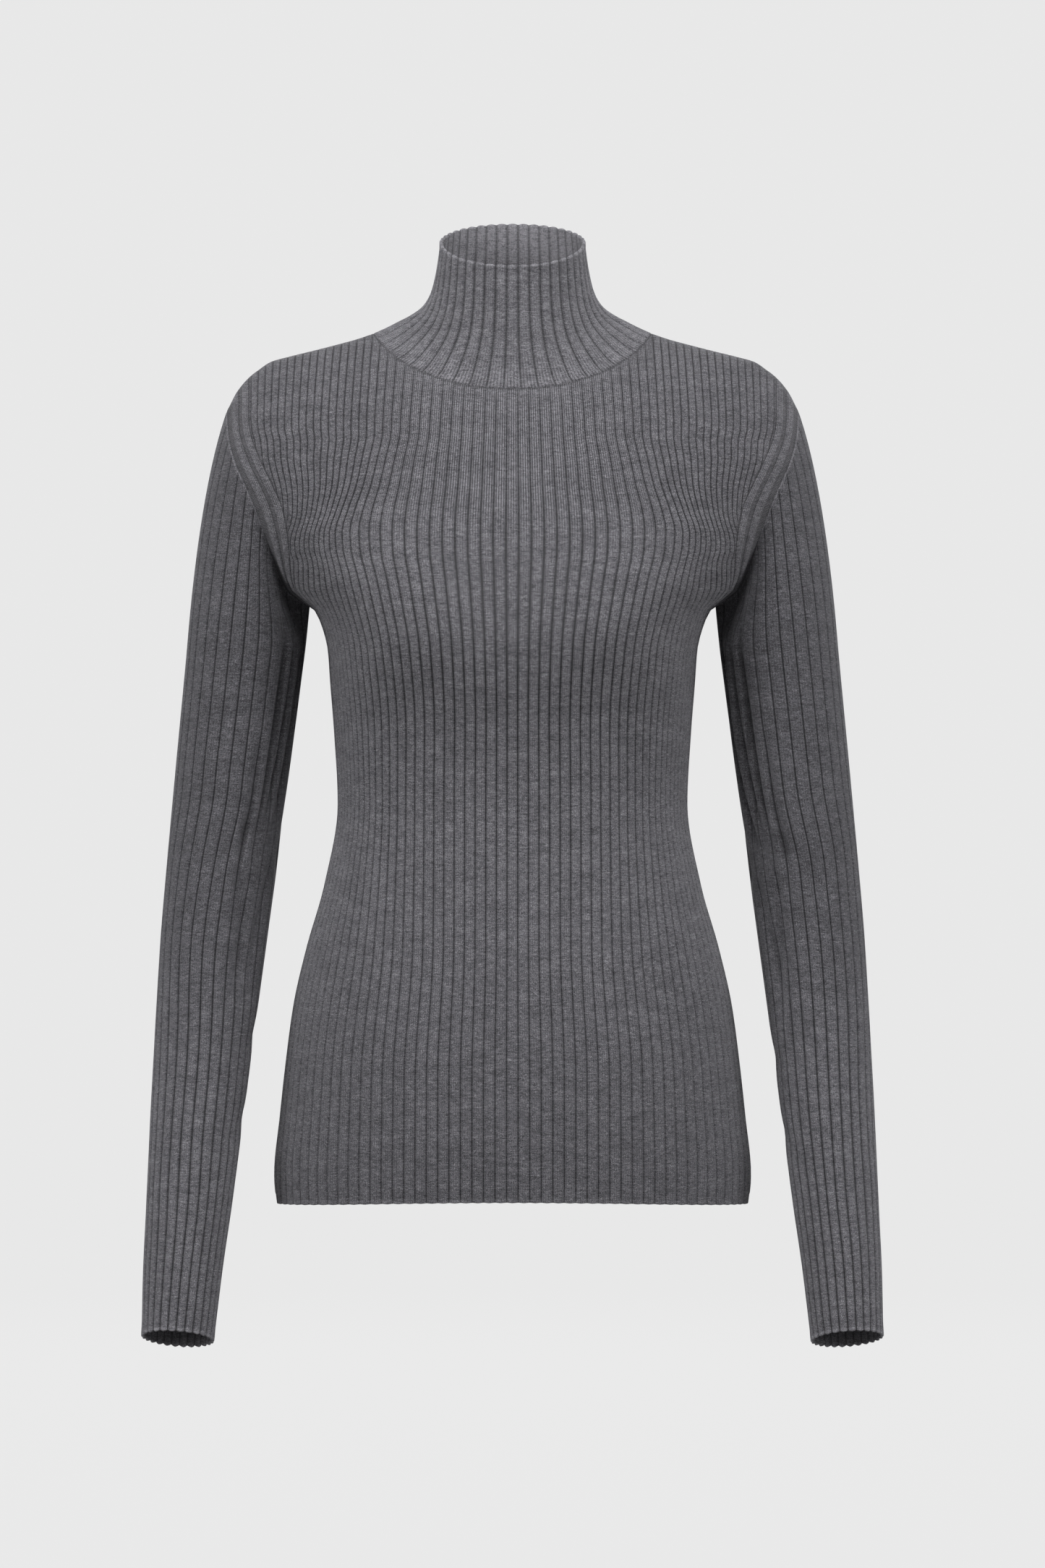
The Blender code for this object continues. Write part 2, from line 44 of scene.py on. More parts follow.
frontSide, backSide = sides = (-1, 1)
sideName = {frontSide: "front", backSide: "back"}
highPoint = 613.0  # height of the high shoulder points
neckHalf = 98.5  # half the distance between them
shoulderX = 201.5  # where the armhole seam crosses the shoulder ridge
shoulderHeight = 559.0
underarm = 421.0

cloth = {
    "groove": 1.1,  # depth of the purl groove between two ribs
    "wall": 1.9,  # the inside lies this deep
    "grooveHalf": 0.115,  # half the width of a groove, as a share of a rib's pitch
    "seamSink": 0.55,  # where two pieces are linked, both dip this deep
    "seamWall": 1.2,  # and are this thick
    "seamTurn": 8.0,  # within this distance a surface turns to the way the seam dips
    "seamReach": 2.0,  # the dip reaches this far from a sleeve's or the collar's edge
    "walesPerRib": 5,
    "stitchTall": 1.15,
}
seamClimb = np.linspace(0, 1, 105)  # places up each half of an armhole seam, as shares of its length
farAway = 99.0  # stands for the distance to an edge that a rib never meets
firstBandKey = 100  # rib numbers from here on are places across a panel's band
levelRibs = 22  # a panel's rows are level up to so many half ribs of the sleeve, and rise above


def sizeTable(names, *rows):
    # sizes against the first column, by name
    values = np.array(rows, float)
    return {"by": values[:, 0], **dict(zip(names.split(), values.T))}


def hermite(t, start, leaves, end, joins):
    # the cubic curve with these ends, and these slopes at them
    return ((1 + 2 * t) * (1 - t) ** 2 * start + t * (1 - t) ** 2 * leaves
            + t * t * (3 - 2 * t) * end + t * t * (t - 1) * joins)


def readAt(table, name, where):
    # Hermite between rows; slopes are harmonic means of the neighbours' rises, so it never overshoots
    x, y = table["by"], table[name]
    step = np.diff(x)
    rise = np.diff(y) / step
    slope = np.zeros(len(x))
    same = rise[:-1] * rise[1:] > 0
    slope[1:-1] = np.where(same, 2 * rise[:-1] * rise[1:] / np.where(same, rise[:-1] + rise[1:], 1), 0)
    slope[0], slope[-1] = rise[0], rise[-1]
    where = np.clip(where, x[0], x[-1])
    i = np.clip(np.searchsorted(x, where, side="right") - 1, 0, len(step) - 1)
    return hermite((where - x[i]) / step[i], y[i], step[i] * slope[i], y[i + 1], step[i] * slope[i + 1])


def smoothStep(low, high, value):
    # 3 t^2 - 2 t^3 of the share t of the way from low to high
    t = np.clip((value - low) / (high - low), 0, 1)
    return t * t * (3 - 2 * t)


def near(reach, distance, full=0.0):
    # 1 up to the distance full, easing to 0 at reach
    return 1 - smoothStep(full, reach, distance)


def eased(settings, value):
    # from 0 at start to the amount at full, whichever of the two is the greater
    amount, start, full = settings
    return amount * smoothStep(start, full, value)


def bell(offset, width):
    # Gaussian: exp(-(offset / width)^2)
    return np.exp(-((offset / width) ** 2))


def unit(vectors):
    # each vector divided by its length
    return vectors / np.maximum(np.linalg.norm(vectors, axis=-1, keepdims=True), 1e-12)


def blend(first, second, share):
    # unit vectors between first and second
    return unit(first * (1 - share)[..., None] + second * share[..., None])


def stacked(*parts):
    # points from their coordinates
    return np.stack(np.broadcast_arrays(*parts), axis=-1)


def runLength(points, axis):
    # distance run along one axis of a grid of points, from its start
    steps = np.linalg.norm(np.diff(points, axis=axis), axis=-1)
    return np.insert(np.cumsum(steps, axis=axis), 0, 0, axis=axis)


def readRows(where, xs, ys):
    # one linear reading for each row of a grid
    return np.array([np.interp(w, x, y) for w, x, y in zip(where, xs, ys)])


def readPoints(where, at, points):
    # points or vectors read between the given ones
    return np.stack([np.interp(where, at, points[..., k]) for k in range(3)], axis=-1)


body = sizeTable(
    "height halfWidth width seam seamOff front back spine fullness",
    (0, 168, 168, 168, 0, -100, 112, 8, 1.8),
    (20, 168.6, 168.6, 168.6, 0, -102, 116, 8, 1.8),
    (60, 164.7, 164.7, 164.7, 0, -104, 121, 8, 1.8),
    (100, 160.3, 160.3, 160.3, 0, -103, 120, 8, 1.8),
    (140, 154.8, 154.8, 154.8, 0, -99, 114, 7, 1.8),
    (180, 145.6, 145.6, 145.6, 0, -94, 104, 6, 1.8),
    (225, 132.9, 132.9, 132.9, 0, -88, 90, 4, 1.8),
    (281, 124.2, 123.9, 123.9, 0, -85, 80, 2, 1.8),
    (330, 127.5, 126.4, 126.4, 0, -91, 82, 0, 1.85),
    (368, 133, 129.5, 129.3, 0, -101, 87, -2, 1.9),
    (389, 138, 132.5, 130.8, 0, -106, 91, -2, 1.9),
    (404, 143.5, 137.5, 134.4, 0, -108, 94, -1, 1.9),
    (421, 155, 146.5, 143, 0, -109, 97, 0, 1.9),
    (424, 157.5, 148.3, 150, 5, -109, 98, 0, 1.9),
    (429, 162, 151.3, 157.5, 11, -109, 98.5, 1, 1.9),
    (436, 167.5, 155, 162, 19, -109, 99, 2, 1.9),
    (443, 173, 158.7, 165, 26, -108, 100, 2, 1.85),
    (456, 182, 165.5, 169.4, 37, -106, 101, 3, 1.8),
    (473, 193, 173.5, 175, 45, -102, 102, 4, 1.8),
    (490, 204, 181.5, 181.5, 48, -97.5, 102, 5, 1.7),
    (504, 212, 187.7, 187.7, 45, -93.5, 101, 5, 1.7),
    (520, 216.5, 195, 195, 38, -88, 98, 5, 1.7),
    (536, 212.8, 199.6, 199.6, 27, -82, 93.5, 5, 1.7),
    (549, 207, 201.3, 201.3, 16, -76.5, 87, 5, 1.7),
    (554, 204.5, 201.5, 201.5, 10.8, -74, 84, 5, 1.7),
    (557.5, 202.4, 201.5, 201.5, 5.2, -72, 81, 5, 1.7),
    (559, 201.5, 201.5, 201.5, 0, -71, 80, 5, 1.7),
    (572, 194.6, 201.5, 201.5, 0, -62, 69, 5, 1.7),
    (582, 186.2, 201.5, 201.5, 0, -52, 59, 5, 1.7),
    (588, 178.5, 201.5, 201.5, 0, -45, 52, 5, 1.7),
    (593, 170.9, 201.5, 201.5, 0, -38, 45, 5, 1.7),
    (597, 156.8, 201.5, 201.5, 0, -32, 38, 5, 1.7),
    (601, 140.5, 201.5, 201.5, 0, -27, 33, 5, 1.7),
    (605, 125, 201.5, 201.5, 0, -22, 28, 5, 1.7),
    (609, 110.4, 201.5, 201.5, 0, -16, 22, 5, 1.7),
    (613, 98.5, 201.5, 201.5, 0, -9, 16, 5, 1.7),
)
armFold = sizeTable(
    "height front back",
    (400, 0, 0), (421, 3, 2), (434, 6, 4), (448, 4.5, 3), (466, 1.5, 1), (490, 0, 0),
)
# pitch at the middle and beside the seam, and how much it drops from one rib (from) to another (to);
# below panelLook's fitsTo the drop is worked out instead, so that the ribs fill the panel
ribs = sizeTable(
    "height middle edge drop from to",
    (0, 8.0, 8.0, 0, 6, 20),
    (90, 8.0, 7.6, 0, 6, 20),
    (185, 7.4, 7.0, 0, 6, 20),
    (281, 7.4, 6.6, 0, 6, 20),
    (340, 7.3, 7.0, 0, 6, 20),
    (389, 7.6, 7.6, 3.0, 6, 18),
    (421, 8.15, 8.5, 3.4, 7.5, 17.2),
    (440, 8.5, 10.0, 4.7, 8.6, 17.8),
    (455, 8.8, 11.0, 5.3, 9.0, 18.1),
    (470, 8.85, 11.5, 5.3, 9.0, 18.2),
    (486, 8.7, 12.0, 4.8, 8.0, 17.2),
    (501, 8.4, 12.0, 4.0, 6.8, 16.5),
    (520, 8.15, 12.0, 3.1, 5.0, 16),
    (538, 7.85, 11.5, 2.4, 3.4, 16),
    (548, 7.75, 11.5, 2.05, 3.1, 16),
    (560, 7.65, 11.5, 2.0, 3, 16),
)
form = {
    "acrossPower": 2.3,  # superellipse of a level section
    "seamLead": 13,  # how late a section turns to its seam
    "foldFromSeam": 26.0,
    "foldWidth": 13.0,
    "foldShare": 0.25,  # the knit fills part of the fold
    "bust": (75.0, 44.0, 408.0, 46.0, 9.0),  # middle and reach across, middle and reach up, and rise
    "hemRise": 6.0,  # the front's hem rises to its middle, and less so further up
    "hemRisePower": 9,
    "neckFront": (570.5, 10.0),  # the neckline's lowest height, and how much of its rise is steep
    "neckBack": (588.0, 8.0),
    "neckPowers": (2.2, 8),
}


def necklineHeight(side, x):
    # low at the middle, plus the rise as two powers of share: the higher one is steep beside the ridge
    share = np.abs(x) / neckHalf
    low, steep = (np.where(side == frontSide, front, back)
                  for front, back in zip(form["neckFront"], form["neckBack"]))
    soft, hard = form["neckPowers"]
    return low + (highPoint - low - steep) * share**soft + steep * share**hard


def ridgeHeight(x):
    # the height above which the body is narrower than x
    heights = np.linspace(shoulderHeight, highPoint, 200)
    return np.interp(-np.abs(x), -readAt(body, "halfWidth", heights), heights)


def sectionDepth(side, x, height):
    # spine + (middle - spine) * (1 - (x / halfWidth) ** power) ** (1 / fullness)
    turn = np.clip(x / readAt(body, "halfWidth", height), 0, 1)
    middle = readAt(body, sideName[side], height)
    spine = readAt(body, "spine", height)
    bulge = (1 - turn ** form["acrossPower"]) ** (1 / readAt(body, "fullness", height))
    return spine + (middle - spine) * bulge


def panelForm(side, share, height):
    # the level section, led to the seam line by share ** seamLead, with the fold beside the armhole
    seamX, width = readAt(body, "seam", height), readAt(body, "width", height)
    seamY = readAt(body, "spine", height) + side * readAt(body, "seamOff", height)
    lead = share ** form["seamLead"]
    x = share * width + (seamX - width) * lead
    y = sectionDepth(side, x, height) + (seamY - sectionDepth(side, seamX, height)) * lead
    fold = bell(seamX - x - form["foldFromSeam"], form["foldWidth"])
    foldDepth = readAt(armFold, sideName[side], height)
    y = y - side * form["foldShare"] * foldDepth * fold
    if side == frontSide:
        bustX, bustWide, bustUp, bustTall, bustRise = form["bust"]
        y = y - bustRise * bell(x - bustX, bustWide) * bell(height - bustUp, bustTall)
        height = height + form["hemRise"] * (1 - height / highPoint) ** form["hemRisePower"] * (1 - share**2)
    return stacked(x, y, height)


def panelNormal(side, share, height):
    # cross product of small steps across and up the form
    across = panelForm(side, np.minimum(share + 0.002, 1), height) - panelForm(side, share - 0.002, height)
    up = panelForm(side, share, height + 0.6) - panelForm(side, share, height - 0.6)
    return -side * unit(np.cross(across, up))


arm = sizeTable(
    "height innerX outerX middleY halfDepth",
    (-100, 208.4, 259.8, -60.6, 28.5),
    (-91, 207.2, 259.6, -58, 28.8),
    (-45, 201.9, 259.2, -46, 31),
    (0, 195.8, 257.6, -34.5, 33.2),
    (62, 188.3, 255.2, -20.5, 36),
    (123, 181.0, 252.2, -9.5, 38.4),
    (185, 173.1, 248.6, -1.5, 40.4),
    (246, 165.0, 243.5, 3, 42),
    (307, 156.8, 237.9, 5, 43.3),
    (360, 150.0, 232.8, 4.5, 44.6),
    (392, 146.0, 229.8, 3.5, 45.5),
    (420, 143.0, 227.5, 2.5, 46),
)
sleeveLook = {
    "ribs": 26,
    "inRib": (0.0, 0.2, 0.36, 0.42, 0.46, 0.5),
    "grooveHalf": (0.085, 0.15),  # above the elbow, and towards the cuff
    "elbowHeights": (20, 230),  # it changes over these
    "biceps": 392.0,
    "cuff": -91.0,
    "capRows": 16,
    "armStep": 6.0,
    "leavesOut": (0.10, 0.36),  # how far a rib leans out where it leaves the seam, underarm and shoulder
    "pull": 0.85,  # how far it keeps that direction
    # painted highlight along the cuff's rim and the edge at the seam
    "edgeHighlight": 0.8,
    "wave": 23.0,  # height of a wave of the ribs, divided by 2 pi
    "wristWave": (1.3, 2, 30),  # how much stronger it is at the wrist, at what height, and its reach
    "elbow": (20, 190),  # the ribs' step at the elbow grows over these heights
    # an amount, then where it starts and where it is full
    "elbowTurn": (0.02, 292, 228),  # share of the girth by which the ribs step round the arm
    "wander": (0.0035, 360, 250),  # and by which they wander
    "shadeByHeight": (-0.62, 60, 240),  # painted shade: the upper arm darker
    "cuffRipple": (0.4, 12, 0),
    "foldDepth": 1.4,
    "foldShade": (0.9, 1.5, 5.0),  # painted shade in a fold, by its depth
    "innerShade": (0.55, 185, 245),  # and painted shade on the side towards the body, which the torso shades, by height
    "innerShadeBand": (12, 26),  # its distance from the inner line, and its reach
    "roll": (0.3, 0.45, 0),
}


def armPoint(height, share):
    # an ellipse square to the arm's middle line: share 0 is its outer side, 0.25 the front and 0.5 the inner
    def middleAt(at):
        x = (readAt(arm, "innerX", at) + readAt(arm, "outerX", at)) / 2
        return stacked(x, readAt(arm, "middleY", at), at)

    axis = unit(middleAt(height + 4.0) - middleAt(height - 4.0))
    outwards = unit(np.cross(np.array([0, 1.0, 0]), axis))
    forwards = -unit(np.cross(axis, outwards))
    halfWidth = (readAt(arm, "outerX", height) - readAt(arm, "innerX", height)) / 2 * axis[..., 2]
    halfDepth = readAt(arm, "halfDepth", height)
    angle = 2 * np.pi * share
    return (middleAt(height) + (halfWidth * np.cos(angle))[..., None] * outwards
            + (halfDepth * np.sin(angle))[..., None] * forwards)


def armholeRun(side):
    # heights up the armhole seam, and the distance run along it
    heights = underarm + (shoulderHeight - underarm) * np.linspace(0, 1, 484) ** 2
    return heights, runLength(panelForm(side, np.ones_like(heights), heights), 0)


def armholeSeam(side):
    # the panel's edge at even steps of its length
    heights, run = armholeRun(side)
    points = panelForm(side, np.ones_like(heights), heights)
    return readPoints(seamClimb * run[-1], run, points)


armholes = {side: armholeSeam(side) for side in sides}


def armholePoint(share):
    # share 0 is the shoulder point, 0.25 half way down the front, and 0.5 the underarm
    turn = 2 * (share % 1.0) - 1
    front, back = (readPoints(np.abs(turn), seamClimb, armholes[side]) for side in sides)
    return np.where((turn < 0)[..., None], front, back)


def capPoint(rise, share, look):
    # Hermite curve of each rib from the seam, which it leaves down the arm, to the biceps ring
    start, end = armholePoint(share), armPoint(np.full_like(share, look["biceps"]), share)
    top = np.maximum(0.0, np.cos(2 * np.pi * share)) ** 2
    under, shoulder = look["leavesOut"]
    leaves = stacked(under + (shoulder - under) * top, 0.0, -1.0)
    joins = unit(armPoint(np.full_like(share, look["biceps"] - 6), share)
                 - armPoint(np.full_like(share, look["biceps"] + 6), share))
    pull = look["pull"] * np.linalg.norm(end - start, axis=-1, keepdims=True)
    return hermite(rise[..., None], start, pull * unit(leaves), end, pull * joins)


collar = sizeTable(
    "rise sideX sideZ frontY frontZ backY backZ",
    (0.00, 98.5, 613.0, -63, 570.5, 53, 588),
    (0.10, 89.5, 617.0, -61.5, 576, 49, 594),
    (0.20, 80.5, 621.5, -60.5, 584, 46, 602),
    (0.30, 72.0, 625.8, -60, 593, 44, 612),
    (0.42, 63.5, 632.0, -59.5, 605, 42, 627),
    (0.55, 58.0, 640.5, -59.5, 618, 41, 643),
    (0.70, 54.8, 651.5, -60, 631, 40, 660),
    (0.85, 52.6, 663.5, -61, 643.5, 39.5, 676),
    (1.00, 51.0, 676.0, -62, 655.5, 39, 692),
)
collarLook = {
    "ribs": 42,
    "inRib": (0.0, 0.18, 0.30, 0.38, 0.44, 0.5),
    "rows": 42,
    "settles": 0.45,  # above this rise the ring no longer follows the neckline
    "round": 2.15,  # power of the ring's superellipse
    "spineTop": -11.5,
    "samples": 361,
    "grooveWide": (1.75, 0.8),  # times the cloth's grooveHalf, above and at the seam
    "rimRibs": 1.5,  # how much more the ribs curl out at the rim
    # an amount, then where it starts and where it is full
    "opened": (1, 0.45, 0.05),  # the seam holds the foot of the collar open
    "rimOut": (0.2, 4.5, 0.5),
    "rimRipple": (0.1, 5.0, 0.5),
    "innerPale": 1.1,  # light falls in on the inside
    "roll": (0.3, 0.5, 0),
}


def collarPoint(rise, angle, look):
    # quarter superellipses through front, side and back, led from the neckline near the seam
    swing, lean = np.sin(angle), np.abs(np.cos(angle))
    isFront = np.cos(angle) > 0
    sideways = np.sign(swing) * np.abs(swing) ** (2 / look["round"])

    def tablePoint(at):
        spine = readAt(body, "spine", highPoint) * (1 - at) + look["spineTop"] * at
        endY = np.where(isFront, readAt(collar, "frontY", at), readAt(collar, "backY", at))
        endZ = np.where(isFront, readAt(collar, "frontZ", at), readAt(collar, "backZ", at))
        y = spine + (endY - spine) * lean ** (2 / look["round"])
        sideZ = readAt(collar, "sideZ", at)
        return stacked(readAt(collar, "sideX", at) * sideways, y, sideZ + (endZ - sideZ) * lean)

    x = neckHalf * sideways
    height = necklineHeight(np.where(isFront, frontSide, backSide), x)
    share = np.abs(x) / shoulderX
    front, back = (panelForm(side, share, height) for side in sides)
    seam = np.where(isFront[..., None], front, back)
    seam[..., 0] = x
    lead = np.clip(1 - rise / look["settles"], 0, 1) ** 2
    return tablePoint(rise) + (seam - tablePoint(0 * rise)) * lead[..., None]


# at a seam both linked pieces dip, half way between their normals
def sleeveNormal(share):
    # cross product of small steps round the cap's edge and down from it
    aroundIt = armholePoint(share + 0.004) - armholePoint(share - 0.004)
    zero = np.zeros_like(share)
    downIt = capPoint(zero + 0.03, share, sleeveLook) - capPoint(zero, share, sleeveLook)
    return unit(np.cross(aroundIt, downIt))


def collarNormal(rise, angle):
    # cross product of small steps round and up the collar
    aroundIt = collarPoint(rise, angle + 0.01, collarLook) - collarPoint(rise, angle - 0.01, collarLook)
    upIt = (collarPoint(np.minimum(rise + 0.01, 1), angle, collarLook)
            - collarPoint(np.maximum(rise - 0.01, 0), angle, collarLook))
    return unit(np.cross(aroundIt, upIt))


def armholeDips(side):
    # half way between the panel's and the sleeve's normals, up the seam
    heights, run = armholeRun(side)
    climb = run / run[-1]
    share = (1 - climb) / 2 if side == frontSide else (1 + climb) / 2
    dips = unit(panelNormal(side, np.ones_like(heights), heights) + sleeveNormal(share))
    return unit(readPoints(seamClimb, climb, dips))


armholeDip = {side: armholeDips(side) for side in sides}


def armholeDipAt(side, climb):
    # at a share of the way up the seam
    return unit(readPoints(climb, seamClimb, armholeDip[side]))


def sideDip(side, height):
    # down the side seam, then round the armhole to the shoulder point
    low = np.minimum(height, underarm - 2)
    below = unit(sum(panelNormal(each, np.ones_like(low), low) for each in sides))
    heights, run = armholeRun(side)
    above = armholeDipAt(side, np.interp(height, heights, run / run[-1]))
    return blend(below, above, smoothStep(underarm - 4, underarm, height))


def ringAngle(x, side):
    # the collar's angle over a point of the neckline
    share = np.clip(np.abs(x) / neckHalf, 0, 1)
    swing = np.arcsin(share ** (collarLook["round"] / 2))
    return np.where(side == frontSide, swing, np.pi - swing)


def topDip(side, x):
    # along the neckline, then down the shoulder ridge; x from the middle outwards
    inside = np.clip(x, 0, neckHalf - 0.5)
    height = necklineHeight(side, inside)
    neck = unit(panelNormal(side, inside / shoulderX, height)
                + collarNormal(np.zeros_like(x), ringAngle(inside, side)))
    ridge = ridgeHeight(np.clip(x, neckHalf, shoulderX))
    fall = readAt(body, "halfWidth", ridge + 0.5) - readAt(body, "halfWidth", ridge - 0.5)
    return blend(neck, unit(stacked(1.0, 0.0, -fall)), smoothStep(neckHalf - 4, neckHalf, x))


def turnTo(normals, dips, distance):
    # a normal turns to the way the seam dips, fully at the seam
    return blend(normals, dips, near(cloth["seamTurn"], distance))


def shellDepths(groove, seam, sink, grooveWall):
    # how deep the outside and the inside lie below the form: grooves between ribs, and the dip at a seam
    outside = cloth["groove"] * groove * (1 - seam) + sink * seam
    inside = (cloth["wall"] + grooveWall * groove) * (1 - seam)
    return outside, inside + (cloth["seamSink"] + cloth["seamWall"]) * seam


def addObject(name, data):
    added = bpy.data.objects.new(name, data)
    bpy.context.scene.collection.objects.link(added)
    return added


def addMesh(name, vertices, faces, material):
    mesh = bpy.data.meshes.new(name)
    mesh.from_pydata(vertices, [], faces)
    mesh.polygons.foreach_set("use_smooth", np.ones(len(faces), bool))
    mesh.materials.append(material)
    return addObject(name, mesh)


def meshFromGrids(name, grids, material, flipped=False):
    # each grid: points (rows, columns, 3) in mm, uv, flip, marks (values at the points, by name), and same,
    # the column whose vertex a point shares; a face left with under three corners is dropped
    faces, start = [], 0
    for grid in grids:
        rows, columns = grid["same"].shape
        index = start + columns * np.arange(rows)[:, None] + grid["same"]
        quads = np.stack([index[:-1, :-1], index[:-1, 1:], index[1:, 1:], index[1:, :-1]], axis=-1)
        faces.append((quads[..., ::-1] if grid["flip"] != flipped else quads).reshape(-1, 4))
        start += rows * columns
    faces = np.concatenate(faces)
    coords = np.concatenate([grid["points"].reshape(-1, 3) for grid in grids])
    uvs = np.concatenate([grid["uv"].reshape(-1, 2) for grid in grids])
    # join the grids where their edges lie on each other
    rounded = np.round(coords * 2000).astype(np.int64)
    _, first, joined = np.unique(rounded, axis=0, return_index=True, return_inverse=True)
    corners = joined.reshape(-1)[faces]
    repeats = corners == np.roll(corners, 1, axis=1)
    full, three = ~repeats.any(axis=1), repeats.sum(axis=1) == 1
    # all loops, the quads' and then the triangles', by vertex and by the point that they come from
    byVertex, byPoint = (np.concatenate([corner[full].ravel(), corner[three][~repeats[three]]])
                         for corner in (corners, faces))
    used, loops = np.unique(byVertex, return_inverse=True)
    source = first[used]
    quads, triangles = np.split(loops, [4 * full.sum()])
    piece = addMesh(name, ((coords[source] - [0, 0, highPoint]) * 0.001).tolist(),
                    quads.reshape(-1, 4).tolist() + triangles.reshape(-1, 3).tolist(), material)
    mesh = piece.data
    mesh.uv_layers.new(name="knit").data.foreach_set("uv", uvs[byPoint].astype(np.float32).ravel())
    for mark in grids[0]["marks"]:
        values = np.concatenate([grid["marks"][mark].reshape(-1) for grid in grids])
        layer = mesh.attributes.new(mark, "FLOAT", "POINT")
        layer.data.foreach_set("value", values[source].astype(np.float32))
    mesh.validate()
    print(f"{name}: {len(mesh.vertices)} vertices, {len(mesh.loops) - 2 * len(mesh.polygons)} triangles")
    return piece


def shellGrids(outer, inner, uv, marks, around, roll, same=None, innerPale=0.7):
    # a closed shell: the outer grid, the inner grid, and strips that join their edges. roll is how far
    # the first row's, the last row's and the side columns' edges bulge out, as a share of the wall
    rows, columns = outer.shape[:2]
    same = np.arange(columns)[None].repeat(rows, 0) if same is None else same
    marks = {mark: values + np.zeros((rows, columns)) for mark, values in marks.items()}
    # the inside shows less painted groove shade, and painted light of at least innerPale
    within = {**marks, "shadeAndSeamTone": marks["shadeAndSeamTone"] * 0.8, "pale": np.maximum(marks["pale"], innerPale)}
    grids = [dict(points=outer, uv=uv, marks=marks, flip=False, same=same),
             dict(points=inner, uv=uv, marks=within, flip=True, same=same)]

    def strip(cut, beside, amount, flip, fade, sameEdge):
        # the edge outside + across * (1 - cos(turn)) / 2 + out * wall * amount * sin(turn)
        out = unit(outer[cut] - outer[beside] + inner[cut] - inner[beside])
        across = inner[cut] - outer[cut]
        wall = np.linalg.norm(across, axis=-1, keepdims=True)
        turn = np.linspace(0, np.pi, 5)[:, None, None]
        bulge = out * wall * amount * fade[:, None] * np.sin(turn)

        def repeated(edge):
            return edge[None].repeat(len(turn), 0)

        grids.append(dict(points=outer[cut] + across * (1 - np.cos(turn)) / 2 + bulge, uv=repeated(uv[cut]),
                          marks={mark: repeated(values[cut]) for mark, values in marks.items()},
                          flip=flip, same=repeated(sameEdge)))

    def fadeAtEnds(edge):
        # 0 where two strips meet at a corner
        run = runLength(edge, 0)
        return smoothStep(0, 4, np.minimum(run, run[-1] - run))

    for row, beside, amount, flip in ((0, 2, roll[0], True), (rows - 1, rows - 3, roll[1], False)):
        fade = np.ones(columns) if around else fadeAtEnds(outer[row])
        strip(row, beside, amount, flip, fade, same[row])
    if not around:
        every = slice(None)
        for column, beside, flip in ((0, 2, False), (columns - 1, columns - 3, True)):
            fade = fadeAtEnds(outer[:, column])
            strip((every, column), (every, beside), roll[2], flip, fade, np.arange(rows))
    return grids


def grooveShare(keys, halfWidth, flat=0.0):
    # 0 on a rib's flat top and 1 along the middle of a groove, which lies half way between two keys;
    # a stretched groove has a flat bottom
    fromGroove = np.abs(keys - np.floor(keys) - 0.5)
    return near(halfWidth * (1.25 - 0.1 * flat), fromGroove, halfWidth * (0.1 + 0.5 * flat))


def paintedGrooveShade(groove, pitch):
    # painted shade in the bottom of a groove: pinched ones darker
    return groove**1.4 * (0.8 + 0.2 * near(8.4, pitch, 5.2))


def purlShare(groove):
    # how far the bottom of a groove shows its purl bars
    return smoothStep(0.4, 0.85, groove)


def creaseDepth(x, z, rows):
    # each crease: a line from (x0, z0) to (x1, z1), bowed sideways by bend, as a soft trough whose
    # section is a Gaussian of this width and whose depth swells from both ends; a ridge has depth < 0
    total = np.zeros(np.broadcast(x, z).shape)
    for x0, z0, x1, z1, bend, width, depth in rows:
        dx, dz = x1 - x0, z1 - z0
        length = math.hypot(dx, dz)
        alongIt = ((x - x0) * dx + (z - z0) * dz) / length**2
        offIt = ((x - x0) * dz - (z - z0) * dx) / length - bend * 4 * alongIt * (1 - alongIt)
        swell = np.sin(np.pi * np.clip(alongIt, 0, 1)) ** 0.8
        total += depth * swell * bell(offIt, width)
    return total


def knitShell(name, smooth, normals, depths, number, along, marks, turned=1, flipped=False, **edges):
    # a shell between smooth - normals * depth outside and inside; u is a rib's number, and v the distance
    # along the knit
    outer, inner = ((smooth - normals * depth[..., None]) * turned for depth in depths)
    grids = shellGrids(outer, inner, stacked(number, along), marks, **edges)
    return meshFromGrids(name, grids, wool, flipped)


def newMaterial(name, values):
    # a principled shader with these input values
    material = bpy.data.materials.new(name)
    material.use_nodes = True
    shader = material.node_tree.nodes["Principled BSDF"]
    for socket, value in values.items():
        shader.inputs[socket].default_value = value
    return material


def addNode(tree, kind, inputs=(), **settings):
    # inputs by socket, each a value or another node's output
    node = tree.nodes.new("ShaderNode" + kind)
    for setting, value in settings.items():
        setattr(node, setting, value)
    for socket, value in dict(inputs).items():
        if isinstance(value, bpy.types.NodeSocket):
            tree.links.new(value, node.inputs[socket])
        else:
            node.inputs[socket].default_value = value
    return node


def mathNode(tree, operation, *values):
    return addNode(tree, "Math", enumerate(values), operation=operation).outputs[0]


def noiseNode(tree, place, stretch, scale, detail, rough):
    # noise with its pattern drawn out along the axes whose stretch is under 1
    place = addNode(tree, "VectorMath", {0: place, 1: stretch}, operation="MULTIPLY").outputs[0]
    inputs = {"Vector": place, "Scale": scale, "Detail": detail, "Roughness": rough}
    return addNode(tree, "TexNoise", inputs).outputs["Fac"]


